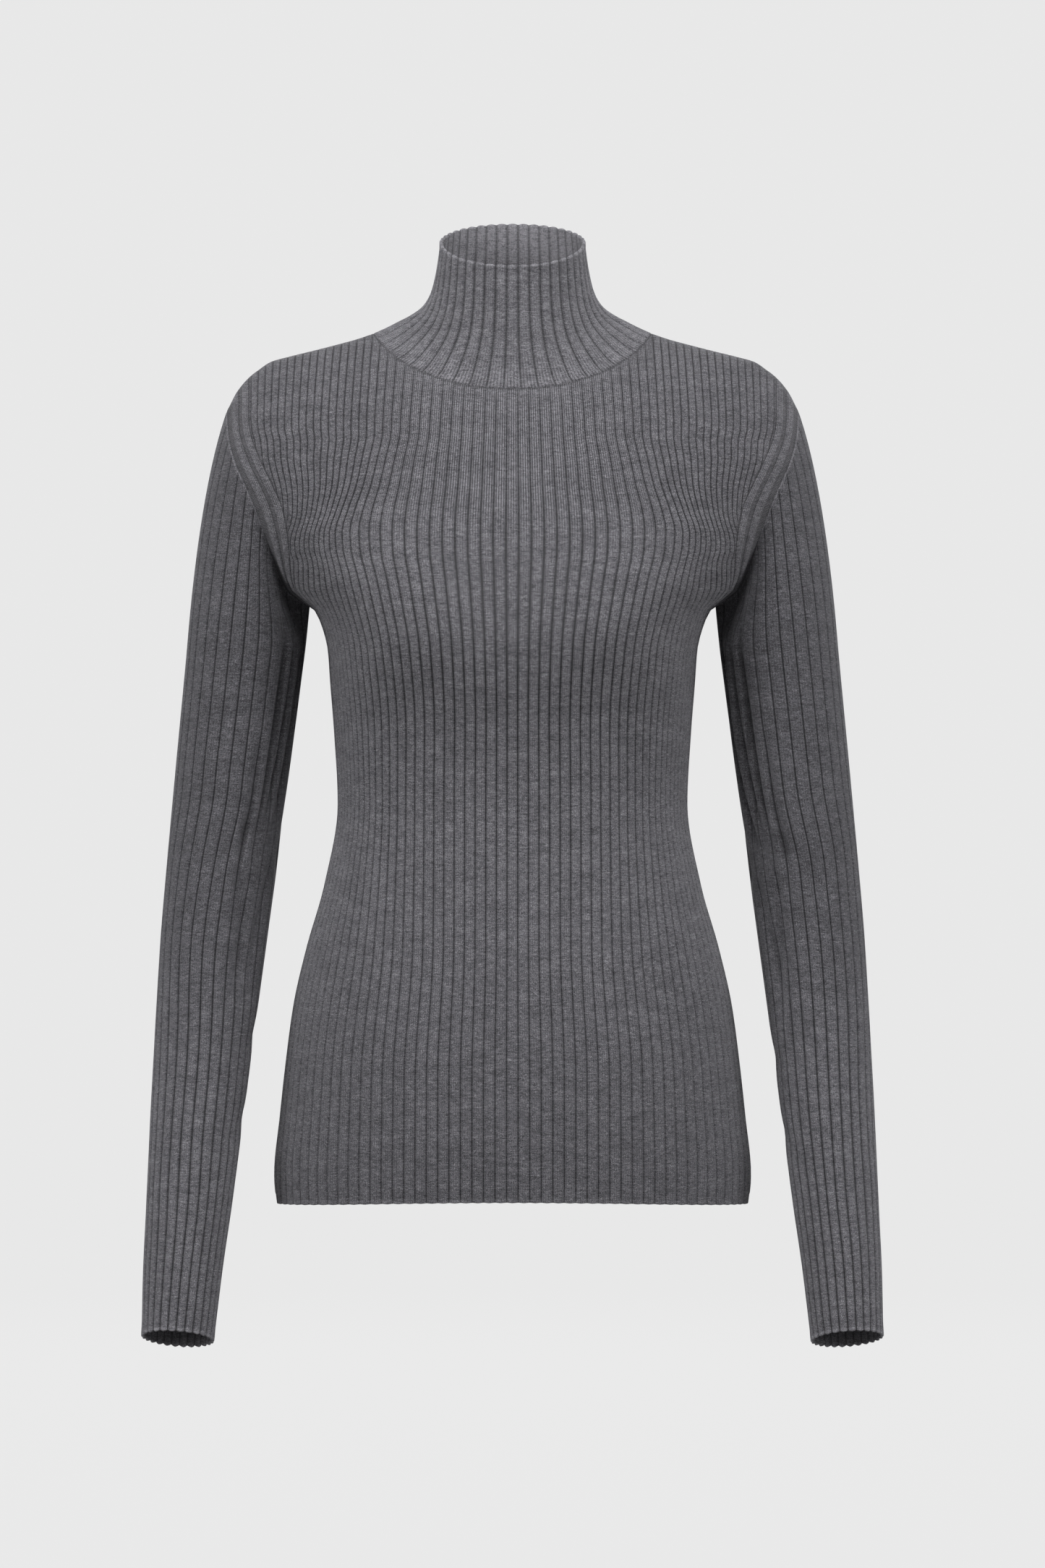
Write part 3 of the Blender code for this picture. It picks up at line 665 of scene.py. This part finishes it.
woolLook = {
    "dark": (0.023, 0.0226, 0.0256),
    "middle": (0.089, 0.087, 0.0965),
    "light": (0.268, 0.263, 0.284),
    "rampAt": (0.39, 0.50, 0.64),
    "grooveShade": 0.3,  # painted shade: colour at the bottom of a pinched groove, as a share of the rib's
    "wale": 0.19,  # how far wales and purl bars reach up and down the colours
    "purl": 0.2,
    # how far the painted light and shade of the pale mark reach up and down the colours
    "pale": 0.07,
    "loop": (2.6, 0.25),  # slant and depth of the stitches up a wale
    "bar": (4.2, -0.15),  # slant and level of the purl bars
    "waleLevel": 0.62,
    # share in the mix, then stretch, scale, detail and roughness of the noise
    "fleck": (0.68, (1, 1, 1), 2300.0, 2.0, 0.7),
    "streak": (0.23, (0.24, 0.24, 1.0), 1000.0, 2.0, 0.6),
    "cloud": (0.09, (0.35, 0.35, 1.0), 120.0, 3.0, 0.6),
    "bump": (0.5, 0.0004),  # strength and distance
    "relief": (0.6, 0.8),  # how far stitches and flecks stand up in it
    "shader": {
        "Roughness": 0.95,
        "Specular IOR Level": 0.18,
        "Sheen Weight": 0.12,
        "Sheen Roughness": 0.6,
        "Sheen Tint": (0.8, 0.8, 0.84, 1),
    },
}


def woolMaterial(name, look):
    material = newMaterial(name, look["shader"])
    tree = material.node_tree
    shader = tree.nodes["Principled BSDF"]
    place = addNode(tree, "TexCoord").outputs["Object"]
    u, v = addNode(tree, "SeparateXYZ", {0: addNode(tree, "UVMap", uv_map="knit").outputs["UV"]}).outputs[:2]
    # marks at the points: painted shade in grooves and folds, with dark seam stitches; wales; purl bars; and
    # painted light and shade
    shadeAndSeamTone, wale, purl, pale = (addNode(tree, "Attribute", attribute_name=mark).outputs["Fac"]
                              for mark in ("shadeAndSeamTone", "wale", "purl", "pale"))

    def times(a, b):
        return mathNode(tree, "MULTIPLY", a, b)

    def plus(a, b):
        return mathNode(tree, "ADD", a, b)

    # knit columns: a rounded top across each wale, and slanted loops up it
    inWale = mathNode(tree, "PINGPONG", times(u, cloth["walesPerRib"]), 0.5)
    edge = times(inWale, 2.0)  # 1 between two wales, 0 at a wale's middle
    top = mathNode(tree, "SUBTRACT", 1.0, mathNode(tree, "POWER", edge, 2.0))
    rows = times(v, 2 * math.pi / cloth["stitchTall"])
    slant, depth = look["loop"]
    loop = mathNode(tree, "SINE", plus(rows, times(edge, slant)))
    stitch = times(top, plus(times(loop, depth), 1.0))

    # purl: slanted bars that turn over from one wale to the next
    slant, level = look["bar"]
    bars = mathNode(tree, "SINE", plus(rows, times(edge, slant)))
    bars = times(plus(bars, level), times(purl, look["purl"]))

    # melange: fine flecks of light and dark fibre, and short streaks along the rows
    flecks, streaks, clouds = (noiseNode(tree, place, *look[noise][1:])
                               for noise in ("fleck", "streak", "cloud"))
    mix = plus(times(streaks, look["streak"][0]), times(clouds, look["cloud"][0]))
    mix = plus(times(flecks, look["fleck"][0]), mix)
    waleTone = times(mathNode(tree, "SUBTRACT", stitch, look["waleLevel"]), times(wale, look["wale"]))
    shown = plus(plus(plus(mix, times(pale, look["pale"])), waleTone), bars)
    ramp = addNode(tree, "ValToRGB", {0: shown})
    ramp.color_ramp.interpolation = "EASE"
    ramp.color_ramp.elements.new(0.5)
    colours = (look["dark"], look["middle"], look["light"])
    for element, position, colour in zip(ramp.color_ramp.elements, look["rampAt"], colours):
        element.position = position
        element.color = (*colour, 1)
    # painted shade: the first mark darkens the colour towards this share
    inGroove = (*[look["grooveShade"]] * 3, 1)
    shade = addNode(tree, "Mix", {0: shadeAndSeamTone, 6: ramp.outputs["Color"], 7: inGroove}, data_type="RGBA",
                    blend_type="MULTIPLY")
    tree.links.new(shade.outputs[2], shader.inputs["Base Color"])

    stitchHeight, fleckHeight = look["relief"]
    relief = plus(times(stitch, stitchHeight), times(flecks, fleckHeight))
    strength, distance = look["bump"]
    bump = addNode(tree, "Bump", {"Strength": strength, "Distance": distance, "Height": relief})
    tree.links.new(bump.outputs["Normal"], shader.inputs["Normal"])
    return material


wool = woolMaterial("greyMelangeWool", woolLook)
print("wool ready")


panelLook = {
    "rowStep": 6.5,
    "risingRows": 12,
    "inRib": (0.0, 0.24, 0.36, 0.43, 0.5),  # places across half a rib where the profile bends
    "middleRibs": 23,
    "mostAdded": 9,
    "fitsTo": 452.0,  # below this height the ribs fill the panel up to the band
    "gathered": (2.0, 402.0, 446.0),  # so many more ribs are drawn in between these heights
    "bandRibs": 2,
    "bandNumber": (40.5, 1.6),  # the band's first rib number in the stitch pattern, and its step
    "bandPitch": 6.5,
    "bandWale": 2.6,
    "samples": 241,
    "ridgeBand": 15.0,  # width of the band where it meets the shoulder ridge
    "neckDraw": 0.06,  # the middle ribs close up by this share towards the neckline
    # an amount, then where it starts and where it is full
    "hemRipple": (0.16, 14, 0),
    # painted highlight along the hem's rim
    "hemHighlight": (0.5, 2.0, 0.4),
    # painted shade: darker towards the hem and at the yoke
    "hipShade": (-0.2, 260, 60),
    "yokeShade": (-0.2, 470, 520),
    "shadeByHeight": (0.28, 280, 40),  # how much paler the grooves' painted shade is
    "yoke": (0.38, 455, 510, 110),  # the same, within this of the middle
    "yokeWales": (0.8, 450, 510, 95),
    "hemDrawn": (4.8, 15, 22),  # rise beside the side seam, and its reach in and up
    "hemNarrow": (4.0, 16, 7.5),  # the same for how far it turns in
    "seamReach": (2.2, 2.4),  # at the side or armhole, and at the top
    "stretched": (415, 75, 95),  # height of the chest, and its reach up and across
    "chestLight": (0.22, 45),  # painted light at that height, and its reach up
    "seamTone": (0.95, 0.8, 0.25),  # along the top, round the armhole and down the side
    "roll": (0.4, 0.2, 0.25),
}

# the band beside the side seam and armhole: depth at a place counted in ribs from its inner edge
bandProfile = sizeTable(
    "at depth",
    (0.00, 0.8), (0.05, 0.35), (0.12, 0), (0.52, 0), (0.58, 0.55), (0.80, 0.65), (0.88, 1.0),
    (0.95, 0.3), (1.02, 0), (1.42, 0), (1.50, 0.7), (1.90, 0.8), (2.00, 0.9),
)
bandPlaces = (0.0, 0.05, 0.1, 0.16, 0.3, 0.42, 0.5, 0.58, 0.7, 0.8, 0.87, 0.92, 0.96, 1.01, 1.07, 1.2, 1.36,
              1.44, 1.52, 1.66, 1.8, 1.92, 2.0)

# where a crease starts and ends, each as x and height; then bend, width and depth
frontCreases = (
    (112, 400, 150, 452, -5, 8, 0.8),
    (-112, 397, -152, 455, 5, 8, 0.9),
    (96, 372, 132, 420, -6, 9, 1.2),
    (-100, 376, -134, 418, 5, 8, 1.0),
)
backCreases = (
    (112, 396, 150, 456, -6, 8, 2.0),
    (-110, 400, -152, 458, 5, 8, 1.8),
    (-60, 262, 70, 250, 6, 12, 1.6),
    (-88, 232, 40, 222, -5, 11, 1.3),
    (20, 204, 108, 212, 4, 10, 1.2),
)


def ribPlaces(count, inRib):
    # the places in half a rib and their mirror images, for each rib
    inner = np.array(inRib)
    inside = np.unique(np.round(np.concatenate([inner, 1 - inner]), 4))[:-1]
    return (np.arange(count)[:, None] + inside[None]).ravel()


def levelTop(side):
    # the height where the rows stop being level, counted in the sleeve's half ribs up the armhole seam
    heights, run = armholeRun(side)
    return np.interp(levelRibs / sleeveLook["ribs"] * run[-1], run, heights)


def levelRows(side, top, main, look):
    # a rib's place along a level row is the middle pitch times its number, less the drop summed up from
    # rib to rib; past marks ribs that fashioning has not brought in yet, which stand on the band's edge
    heights = np.append([0.0, 1.2, 2.6], np.linspace(5.0, top, int(top / look["rowStep"])))[:, None]
    fineShare = np.sin(np.linspace(0, 1, look["samples"]) * np.pi / 2) ** (2 / form["acrossPower"])
    length = runLength(panelForm(side, fineShare[None], heights), 1)
    middle, edge, drop, start, stop = (readAt(ribs, column, heights)
                                       for column in ("middle", "edge", "drop", "from", "to"))
    reach = length[:, -1:] - look["bandRibs"] * edge
    more, lowest, highest = look["gathered"]
    last = look["middleRibs"] + 0.5 + more * smoothStep(lowest, highest, heights)
    needed = (middle * last - reach) / (last - (start + stop) / 2)
    atFit = np.interp(look["fitsTo"], heights[:, 0], needed[:, 0])
    needed = np.where(heights < look["fitsTo"], needed, atFit)
    above = smoothStep(look["fitsTo"], look["fitsTo"] + 30, heights)
    drop = needed * (1 - above) + drop * above
    t = np.clip((main - start) / (stop - start), 0, 1)
    summed = (stop - start) * (t**3 - t**4 / 2) + np.maximum(main - stop, 0)
    place = middle * main - drop * summed
    past = place > reach + 1e-6
    place = np.minimum(place, reach)
    bandPlace = reach + np.array(bandPlaces) * edge
    cut = np.append(reach - place, farAway + 0 * bandPlace, axis=1)
    fromSide = np.append(farAway + 0 * place, length[:, -1:] - bandPlace, axis=1)
    place = np.append(place, bandPlace, axis=1)
    past = np.append(past, bandPlace < 0, axis=1)
    share = readRows(place, length, np.repeat(fineShare[None], len(heights), 0))
    return heights, share, cut, fromSide, past


def risingRows(side, top, topShare, bandIn, look):
    # above the last level row the columns rise to the neckline or the ridge: the middle ones draw in
    # a little, and the outer ones lean out with the band
    bandOut = 1 - look["ridgeBand"] / shoulderX
    lean = (bandOut - bandIn) * (topShare / bandIn) ** 4
    lean = lean - look["neckDraw"] * topShare * np.maximum(1 - topShare / bandIn, 0) ** 0.7
    ridgeShare = np.where(topShare <= bandIn, topShare + lean,
                          bandOut + (1 - bandOut) * (topShare - bandIn) / (1 - bandIn))
    x = ridgeShare * shoulderX
    ends = np.where(x < neckHalf, necklineHeight(side, np.minimum(x, neckHalf)), ridgeHeight(x))
    climb = 1 - (1 - np.linspace(0, 1, 97)) ** 2
    columns = top + (ends - top)[:, None] * climb
    shares = topShare[:, None] + (ridgeShare - topShare)[:, None] * climb
    length = runLength(panelForm(side, shares, columns), 1)
    rises = np.arange(1, look["risingRows"] + 1) / look["risingRows"]
    rises = np.sort(np.append(rises, 1 - np.array([0.25, 0.6]) / look["risingRows"]))
    rising = readRows(length[:, -1:] * rises, length, columns).T
    return rising, topShare + (ridgeShare - topShare) * (rising - top) / (ends - top), x


def panelGrid(side, look):
    # the right half is worked out and mirrored. Rib coordinates run from the middle outwards: whole
    # numbers are rib middles, and firstBandKey on is the band
    most = look["middleRibs"] + look["mostAdded"]
    main = ribPlaces(most + 1, look["inRib"])
    main = main[main <= most + 0.5]
    top = levelTop(side)
    heights, share, cut, fromSide, past = levelRows(side, top, main, look)
    rising, risingShare, endX = risingRows(side, top, share[-1], share[-1, len(main)], look)
    height = np.append(heights.repeat(share.shape[1], 1), rising, axis=0)
    share = np.append(share, risingShare, axis=0)
    cut, fromSide, past = (np.append(grid, grid[-1:].repeat(len(rising), 0), axis=0)
                           for grid in (cut, fromSide, past))
    points = panelForm(side, share, height)
    up = runLength(points, 0)
    normals = turnTo(panelNormal(side, share, height), sideDip(side, height[:, -1])[:, None], fromSide)
    normals = turnTo(normals, topDip(side, endX)[None], up[-1:] - up)

    mirror = np.array([-1, 1, 1])
    points, normals = (np.append(grid[:, :0:-1] * mirror, grid, axis=1) for grid in (points, normals))
    cut, fromSide, past, up = (np.append(grid[:, :0:-1], grid, axis=1) for grid in (cut, fromSide, past, up))
    halfKey = np.append(main, firstBandKey + np.array(bandPlaces))
    keys = np.append(-halfKey[:0:-1], halfKey)[None]
    # ribs not yet in stand on the band's edge
    centre = len(halfKey) - 1
    column = np.arange(keys.shape[1])[None].repeat(len(up), 0)
    same = np.where(past, centre + np.sign(keys).astype(int) * len(main), column)
    return points, normals, keys, up, cut, fromSide, past, same


def knitPanel(name, side, creases, look):
    # the form, less the creases, grooves between ribs and dips at seams along its normals
    points, normals, keys, up, cut, fromSide, past, same = panelGrid(side, look)
    height = points[..., 2]
    fromTop = up[-1:] - up
    fromBand = np.abs(keys) - firstBandKey  # in ribs, out from the band's inner edge
    inBand = fromBand >= 0

    # the hem: ribs stand out and down a little, and it is drawn up and in beside the side seam
    ripple = eased(look["hemRipple"], up) * np.where(inBand, 0.5, np.cos(2 * np.pi * keys))
    points = points + normals * ripple[..., None]
    amount, wide, tall = look["hemDrawn"]
    points[..., 2] += amount * near(wide, fromSide) * near(tall, up) - ripple
    amount, wide, tall = look["hemNarrow"]
    turnedIn = near(wide, fromSide) * np.maximum(1 - up / tall, 0) ** 2.2
    points[..., 0] -= np.sign(points[..., 0]) * amount * turnedIn
    x = points[..., 0]
    smooth = points - normals * creaseDepth(x, height, creases)[..., None]

    chest, tall, wide = look["stretched"]
    stretched = bell(height - chest, tall) * bell(x, wide)
    groove = grooveShare(np.abs(keys), cloth["grooveHalf"] * (1 + 0.4 * stretched), 0.3 + 0.7 * stretched)
    groove = np.where(inBand, readAt(bandProfile, "depth", fromBand), groove)
    groove = np.maximum(groove, near(1.3, cut, 0.2))
    sideReach, topReach = look["seamReach"]
    seamSide, seamTop = near(sideReach, fromSide), near(topReach, fromTop)
    seam = np.maximum(seamSide, seamTop)
    depth, wall = shellDepths(groove, seam, cloth["seamSink"], 0.3)
    depth = depth * smoothStep(-1.5, 3.0, up) * (0.2 + 0.8 * smoothStep(2, 20, fromTop))

    def inYoke(*settings):
        return eased(settings[:3], height) * bell(x, settings[3])

    start, step = look["bandNumber"]
    number = np.where(inBand, np.sign(keys) * (start + step * fromBand), keys)
    wale = (0.2 + inYoke(*look["yokeWales"])) * np.where(inBand, look["bandWale"], 1)
    pitch = np.abs(np.gradient(smooth, axis=1)).sum(axis=-1) / np.abs(np.gradient(number, axis=1))
    pitch = np.where(past | inBand, look["bandPitch"], pitch)
    opened = np.where(inBand, 0.9, stretched)
    stitches = 0.75 + 0.25 * np.cos(6 * np.pi * keys)
    topTone, armholeTone, sideTone = look["seamTone"]
    sideTone = sideTone + (armholeTone - sideTone) * smoothStep(underarm - 6, underarm + 4, height)
    seamTone = np.maximum(topTone * stitches * seamTop, sideTone * seamSide)
    # painted light and shade: groove shade weaker at the yoke and lower down, the hips and yoke darker, the
    # chest lighter, and a painted highlight along the hem
    shown = 1 - inYoke(*look["yoke"]) - eased(look["shadeByHeight"], height)
    amount, tall = look["chestLight"]
    pale = eased(look["hipShade"], height) + eased(look["yokeShade"], height)
    pale = pale + amount * bell(height - chest, tall)
    marks = {"shadeAndSeamTone": np.maximum(paintedGrooveShade(groove, pitch) * shown, seamTone),
             "wale": wale * (1 - 0.6 * groove),
             "purl": purlShare(groove) * (0.3 + 0.7 * opened) * (1 - seam),
             "pale": pale + eased(look["hemHighlight"], up) * (1 - 0.5 * groove)}
    return knitShell(name, smooth, normals, (depth, wall), number, up, marks, flipped=side == backSide,
                     around=False, same=same, roll=look["roll"])


frontPiece = knitPanel("frontKnit", frontSide, frontCreases, panelLook)
backPiece = knitPanel("backKnit", backSide, backCreases, panelLook)


# where a crease starts and ends, each as the distance round from the inner line (the front is positive)
# and the height; then bend, width and depth
leftCreases = (
    (33, 428, 36, 236, 2, 3.6, 5.0),
    (22, 412, 31, 230, 3, 3.2, 4.2),
    (45, 336, 41, 212, -3, 3.4, 2.4),
    (8, 402, 23, 234, 4, 4.0, 4.4),
    (-9, 384, 0, 216, 2, 5.0, 3.4),
    (28, 402, 34, 248, 2, 2.6, -1.5),
    (15, 384, 27, 250, 3, 3.0, -1.6),
    (38, 262, 66, 210, -6, 9.0, 1.8),
    (37, 236, 30, 150, 3, 6.0, 2.2),
    (14, 226, 22, 128, -3, 5.0, 2.4),
    (-30, 124, 20, 94, 4, 9.0, 0.9),
    (-22, 56, 34, 32, -4, 9.0, 0.8),
    (-44, 300, -66, 120, 5, 8.0, 2.0),
    (-28, 330, -38, 236, 3, 5.0, 2.6),
    (-60, 30, -10, 4, 3, 9.0, 0.8),
)
# the right sleeve's differ a little: how far each is moved round and up, and how much deeper it is
rightShifts = (
    (0, 0, -0.2), (1, 6, 0), (-1, -8, 0.1), (2, 4, -0.2), (1, 10, 0), (0, 0, -0.1), (-2, -6, 0.1),
    (1, 8, 0), (3, -10, 0.1), (-2, 12, -0.1), (2, 14, 0), (-1, 10, 0.1), (2, -12, -0.1), (1, 8, 0),
    (-1, 6, 0.1),
)
rightCreases = [(x0 + across, z0 + up, x1 + across, z1 + up, bend, width, depth + deeper)
                for (x0, z0, x1, z1, bend, width, depth), (across, up, deeper)
                in zip(leftCreases, rightShifts)]


def knitSleeve(name, hand, creases, look):
    # the cap's curves down to the biceps, then rings down the arm; hand is 1 on the wearer's left
    keys = np.append(ribPlaces(look["ribs"], look["inRib"]), look["ribs"])
    share = keys / look["ribs"]
    capRise = np.append([0, 0.006, 0.02, 0.04], np.linspace(0.07, 1, look["capRows"])[:-1] ** 1.15)[:, None]
    armHeights = np.arange(look["biceps"], look["cuff"] + 4.0, -look["armStep"])
    armHeights = np.append(armHeights, look["cuff"] + np.array([2.6, 1.2, 0.0]))[:, None]

    def turnedAt(at, s):
        # share of the girth by which the ribs are turned: a step at the elbow, waves up the arm that
        # differ from rib to rib, and a stronger wave at the wrist
        strength, wrist, tall = look["wristWave"]
        waves = np.sin(at / look["wave"] + 1.1 + hand) * (0.6 + 0.5 * np.sin(4 * np.pi * s + hand))
        waves = waves + strength * bell(at - wrist, tall) * np.sin(6 * np.pi * s + 0.7 * hand)
        elbowTurn = eased(look["elbowTurn"], at) * smoothStep(*look["elbow"], at)
        return elbowTurn + eased(look["wander"], at) * waves

    def formAt(shareShift=0.0, riseShift=0.0, downShift=0.0):
        s = share[None] + shareShift
        cap = capPoint(np.maximum(capRise + riseShift, 0) + 0 * s, s + 0 * capRise, look)
        tube = armPoint(armHeights - downShift + 0 * s, s - turnedAt(armHeights, s))
        return np.append(cap, tube, axis=0)

    points = formAt()
    height = points[..., 2]
    down = runLength(points, 0)
    toCuff = down[-1:] - down
    normals = unit(np.cross(formAt(0.003) - formAt(-0.003), formAt(0, 0.02, 2.0) - formAt(0, -0.02, -2.0)))
    climb = np.abs(2 * (share % 1.0) - 1)
    frontDips, backDips = (armholeDipAt(side, climb) for side in sides)
    normals = turnTo(normals, np.where((share % 1.0 < 0.5)[:, None], frontDips, backDips)[None], down)

    fromInner = (0.5 - share) * runLength(points, 1)[:, -1:]
    crease = look["foldDepth"] * creaseDepth(fromInner, height, creases) * smoothStep(0, 12, down)
    ripple = eased(look["cuffRipple"], toCuff) * np.cos(2 * np.pi * keys)
    smooth = points - normals * (crease - ripple)[..., None]
    smooth[..., 2] -= ripple
    upper, lower = look["grooveHalf"]
    above = smoothStep(*look["elbowHeights"], height)
    groove = grooveShare(keys, lower + (upper - lower) * above)
    seam = near(cloth["seamReach"], down)
    depth, wall = shellDepths(groove, seam, cloth["seamSink"] - 0.3, 0.3)
    depth = depth * smoothStep(-3.0, 2.0, toCuff)

    # painted shade on the side of the arm towards the body, where the torso shades it, and in the bottoms of
    # folds
    inwards, wide = look["innerShadeBand"]
    innerShadeBand = bell(fromInner - inwards, wide) * eased(look["innerShade"], height) * smoothStep(0, 30, down)
    shade = np.maximum(eased(look["foldShade"], crease), innerShadeBand)
    # painted highlight along the cuff's rim and the seam edge, and painted shade up the arm
    atEdge = np.maximum(near(2.2, toCuff, 0.5), near(2.0, down, 0.6))
    marks = {"shadeAndSeamTone": np.maximum(groove**1.2 * (1 - seam), shade),
             "wale": 0.15 * (1 - 0.6 * groove),
             "purl": 0.3 * purlShare(groove),
             "pale": eased(look["shadeByHeight"], height) + look["edgeHighlight"] * atEdge}
    return knitShell(name, smooth, normals, (depth, wall), keys, down, marks,
                     turned=np.array([hand, 1, 1]), flipped=hand == 1, around=True, roll=look["roll"])


leftSleeve = knitSleeve("sleeveLeftKnit", 1, leftCreases, sleeveLook)
rightSleeve = knitSleeve("sleeveRightKnit", -1, rightCreases, sleeveLook)


def knitCollar(name, look):
    # rings up the collar, with the ribs at even steps of each ring's length
    keys = np.append(ribPlaces(look["ribs"], look["inRib"]), look["ribs"])
    rises = np.append(np.linspace(0, 1, look["rows"]), [0.006, 0.014, 0.985, 0.993])
    rises = np.sort(rises)[:, None]
    fine = np.linspace(0, 2 * np.pi, look["samples"])[None]
    length = runLength(collarPoint(rises + 0 * fine, fine + 0 * rises, look), 1)
    angle = readRows(length[:, -1:] * keys / look["ribs"], length, np.repeat(fine, len(rises), 0))
    points = collarPoint(rises + 0 * angle, angle, look)
    up = runLength(points, 0)
    fromTop = up[-1:] - up
    seamX = points[0, :, 0]
    frontDips, backDips = (topDip(side, np.abs(seamX)) for side in sides)
    dips = np.where((np.cos(angle[0]) > 0)[:, None], frontDips, backDips)
    dips[:, 0] *= np.sign(seamX)
    normals = turnTo(collarNormal(rises + 0 * angle, angle), dips[None], up)

    opened = eased(look["opened"], rises)
    above, atSeam = look["grooveWide"]
    groove = grooveShare(keys, cloth["grooveHalf"] * (above + (atSeam - above) * opened)) * (1 - 0.1 * opened)
    seam = near(cloth["seamReach"], up)
    depth, wall = shellDepths(groove, seam, cloth["seamSink"] - 0.25, 0.4)
    ribbed = np.cos(2 * np.pi * keys)
    depth = depth - eased(look["rimOut"], fromTop) * (1 + look["rimRibs"] * ribbed)
    points[..., 2] += eased(look["rimRipple"], fromTop) * ribbed
    stitches = 0.75 + 0.25 * np.cos(8 * np.pi * keys)
    # painted shade in the grooves, dark seam stitches, and the collar lighter all over, with a painted
    # highlight along its rim
    marks = {"shadeAndSeamTone": np.maximum(paintedGrooveShade(groove, length[:, -1:] / look["ribs"]), 0.9 * stitches * seam),
             "wale": (0.15 + 0.3 * opened) * (1 - 0.4 * groove),
             "purl": purlShare(groove) * (0.3 + 0.2 * opened),
             "pale": 0.3 + 0.7 * near(1.3, fromTop, 0.2)}
    return knitShell(name, points, normals, (depth, wall), keys, up, marks, around=True,
                     roll=look["roll"], innerPale=look["innerPale"])


collarPiece = knitCollar("collarKnit", collarLook)
print("knit pieces ready")


stageLook = {
    "floorHeight": -0.96,
    "floorRadius": 5.6,  # metres, with room for a camera all round
    "sweepRadius": 1.2,
    "wallTop": 9.0,
    "segments": 96,
    "world": 0.22,
    "shader": {
        "Base Color": (0.01, 0.01, 0.01, 1),
        "Emission Color": (1, 1, 1, 1),
        "Emission Strength": 0.804,  # the sweep is lit through, so that it stays even
        "Roughness": 1.0,
        "Specular IOR Level": 0.0,
    },
}


def roundBackdrop(look):
    # a round floor that turns up into a wall along a quarter circle
    turn = np.linspace(0, np.pi / 2, 17)
    radius = np.append([0.5, 3.0], look["floorRadius"] + look["sweepRadius"] * np.sin(turn))
    height = np.append([0.0, 0.0], look["sweepRadius"] * (1 - np.cos(turn))) + look["floorHeight"]
    radius, height = np.append(radius, radius[-1]), np.append(height, look["wallTop"])
    angle = np.arange(look["segments"])[:, None] * 2 * np.pi / look["segments"]
    ring = stacked(radius * np.cos(angle), radius * np.sin(angle), height).swapaxes(0, 1)
    points = np.concatenate([ring.reshape(-1, 3), [[0, 0, look["floorHeight"]]]])
    index = np.arange(ring.size // 3).reshape(ring.shape[:2])
    after = np.roll(index, -1, axis=1)
    quads = np.stack([index[:-1], index[1:], after[1:], after[:-1]], axis=-1).reshape(-1, 4)
    middle = np.stack([0 * index[0] + len(points) - 1, index[0], after[0]], axis=-1)
    pale = newMaterial("paleStage", look["shader"])
    backdrop = addMesh("backdrop", points.tolist(), quads.tolist() + middle.tolist(), pale)
    backdrop.visible_diffuse = False
    backdrop.visible_shadow = False
    return backdrop


def areaLight(name, place, target, size, power):
    data = bpy.data.lights.new(name, "AREA")
    data.shape = "RECTANGLE"
    data.size, data.size_y = size
    data.energy = power
    lamp = addObject(name, data)
    lamp.location = place
    lamp.rotation_euler = (Vector(target) - Vector(place)).to_track_quat("-Z", "Y").to_euler()
    lamp.visible_camera = False


roundBackdrop(stageLook)
world = bpy.data.worlds.new("softStudio")
bpy.context.scene.world = world
world.use_nodes = True
background = world.node_tree.nodes["Background"]
background.inputs["Color"].default_value = (1, 1, 1, 1)
background.inputs["Strength"].default_value = stageLook["world"]
# place, target, size and power
lights = {
    "leftLight": ((-2.8, -1.9, 0.5), (0, 0, -0.3), (1.1, 2.0), 64.0),
    "rightLight": ((2.8, -1.9, 0.5), (0, 0, -0.3), (1.1, 2.0), 61.0),
    "topLight": ((0.0, -2.1, 2.8), (0, 0, -0.15), (1.4, 1.0), 100.0),
    "backLight": ((0.0, 3.4, 0.8), (0, 0, -0.3), (2.6, 1.6), 100.0),
}
for light, values in lights.items():
    areaLight(light, *values)

cameraLook = {
    "place": (0.007, -5.0, -0.318),
    "sensor": 36,
    "seenTall": 1.106,  # metres at the sweater that fill the picture's height
}
cameraData = bpy.data.cameras.new("camera")
cameraData.sensor_width = cameraLook["sensor"]
cameraData.lens = cameraLook["sensor"] * -cameraLook["place"][1] / cameraLook["seenTall"]
camera = addObject("camera", cameraData)
camera.location = cameraLook["place"]
camera.rotation_euler = (math.pi / 2, 0, 0)
bpy.context.scene.camera = camera
bpy.context.scene.view_settings.view_transform = "Standard"
print("stage, light and camera ready")

pieces = (
    (frontPiece, "front", "front_wool", (0.41, 0.65), 0.235),
    (backPiece, "back", "back_wool", (0.41, 0.66), 0.235),
    (leftSleeve, "sleeve_left", "sleeve_left_wool", (0.26, 0.655), 0.135),
    (rightSleeve, "sleeve_right", "sleeve_right_wool", (0.26, 0.655), 0.135),
    (collarPiece, "collar", "collar_wool", (0.42, 0.10), 0.034),
)
for piece, node, slot, flat, area in pieces:
    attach(piece, "root")
    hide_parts(node)
